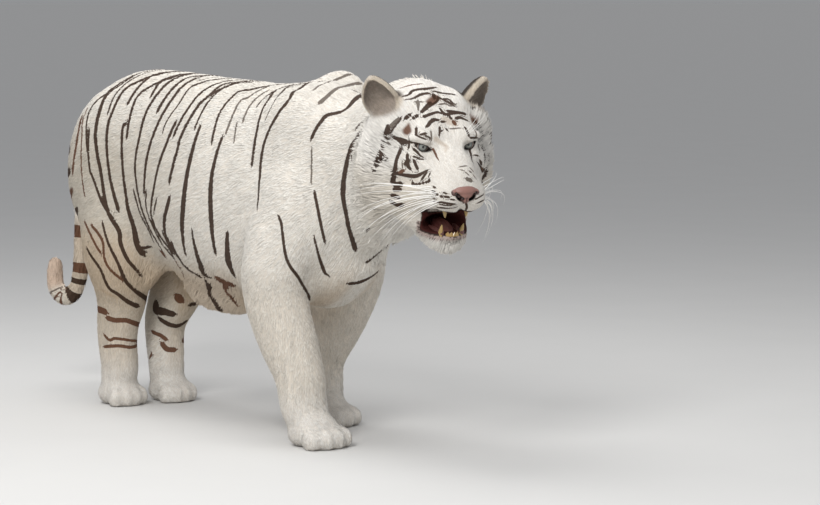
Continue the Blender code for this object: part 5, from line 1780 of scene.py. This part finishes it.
def make_whiskers(tree):
    """Long tapered bristles, bowed by their weight."""
    verts, faces = [], []
    wander = np.random.default_rng(WHISKER_SEED)
    last, corners = 13, 5  # of each bristle's rings, and of one ring
    for s in (-1, 1):
        for rows, brow in ((WHISKERS, False), (BROW_WHISKERS, True)):
            for x, z, end in rows:
                aim = HEAD @ Vector((x, s * (0.044 if brow else 0.060), z))
                root = tree.find_nearest(aim)[0]
                reach = np.array((end[0], s * -end[1], end[2])) + wander.normal(0, 0.007, 3)
                if s > 0 and not brow:
                    reach[1] *= 0.92
                    reach[2] += 0.015
                tip = np.array(HEAD @ Vector(reach))
                root = np.array(root)
                out = tip - root
                bow = np.array((0.02, 0.10 * s, 0.055 if not brow else 0.0)) * np.linalg.norm(out)
                radius = 0.0006 if brow else 0.00115
                path = [root + out * t + bow * 4 * t * (1 - t) for t in np.linspace(-0.03, 1, last + 1)]
                first = len(verts)
                for k, at in enumerate(path):
                    along = unit((path[min(k + 1, last)] - path[max(k - 1, 0)])[None])[0]
                    across = unit(np.cross(along, (0.3, 0.1, 0.9))[None])[0]
                    beside = np.cross(along, across)
                    size = radius * max(0.12, (1 - k / last) ** 0.8)
                    for m in range(corners):
                        a = 2 * math.pi * m / corners
                        verts.append(at + size * (math.cos(a) * across + math.sin(a) * beside))
                for k in range(last):
                    for m in range(corners):
                        p = first + corners * k + m
                        q = first + corners * k + (m + 1) % corners
                        faces += [(p, q, q + corners), (p, q + corners, p + corners)]
    mesh = mesh_from("whiskers", np.array(verts), np.array(faces))
    mesh.shade_smooth()
    mesh.materials.append(plain_material("whiskers", (0.86, 0.84, 0.80), 0.35))
    return placed("whiskers", mesh)


# ---- All of it -------------------------------------------------------------------------------
# First words of the names of the nodes that the skin replaces
FLESH = ("trunk", "neck", "head", "lower", "ear", "foreleg", "forepaw", "hindleg", "hindpaw", "tail")


def main():
    """Dresses the frame: skin, coat, face and stage."""
    helpers = bpy.data.collections.new("helpers")
    bpy.context.scene.collection.children.link(helpers)
    skin_mesh = make_skin(helpers)
    nose = make_nose_leather(helpers)
    gums = make_gums(helpers)
    for obj in list(helpers.objects):
        bpy.data.objects.remove(obj)
    bpy.data.collections.remove(helpers)
    points, normals, faces = arrays(skin_mesh)
    tree = BVHTree.FromPolygons(points.tolist(), faces.tolist())
    markings = Markings(tree, False), Markings(tree, True)
    paint(skin_mesh, points, normals, markings)

    def keep_out(places):
        place = Place(places)
        beyond, upper = past_mouth(place.head_points)
        mouth = (place.head > 0.5) & (beyond < np.where(upper, 0.0030, 0.0055))
        mouth |= nose_bed(place.head_points) < 1.16
        return (lid_rim(place) > 0.35) | mouth | (places[:, 2] < FLOOR + 0.003)

    coat = make_coat(points, normals, faces, tree, keep_out, markings)
    skin = placed("skin", skin_mesh)
    skin_mesh.shade_smooth()
    # The skin under the tufts is painted 10% darker and warmer: painted shade of the coat
    skin_mesh.materials.append(coat_material("skin", depth=0.9))
    hair = coat_material("hair")
    for piece in coat:
        piece.data.materials.append(hair)
    flesh = [name for name in frame["nodes"] if name.split("_")[0] in FLESH]
    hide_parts(*flesh)
    whiskers = make_whiskers(tree)
    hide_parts("nose")
    made = [skin, *coat, whiskers, nose, gums]
    for obj, node, slot in make_eyeballs():
        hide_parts(node)
        made.append(obj)
    for obj in made:
        obj.data.transform(Matrix.Translation(SHIFT))
        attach(obj, "root")
    looks = {
        # The tongue's own red, darkened with painted shade of the mouth's inside
        "tongue": ("tongue", plain_material("tongue", (0.13, 0.042, 0.036), 0.4)),
        "canine": ("teeth", plain_material("teeth", (0.38, 0.26, 0.10), 0.25)),
        "incisors": ("teeth", plain_material("teeth_small", (0.36, 0.23, 0.08), 0.25)),
    }
    for name, node in frame["nodes"].items():
        kind = name.split("_")[0]
        if kind in looks:
            slot, material = looks[kind]
            node.data.materials.clear()
            node.data.materials.append(material)
            node.data.shade_smooth()
    make_stage()


main()
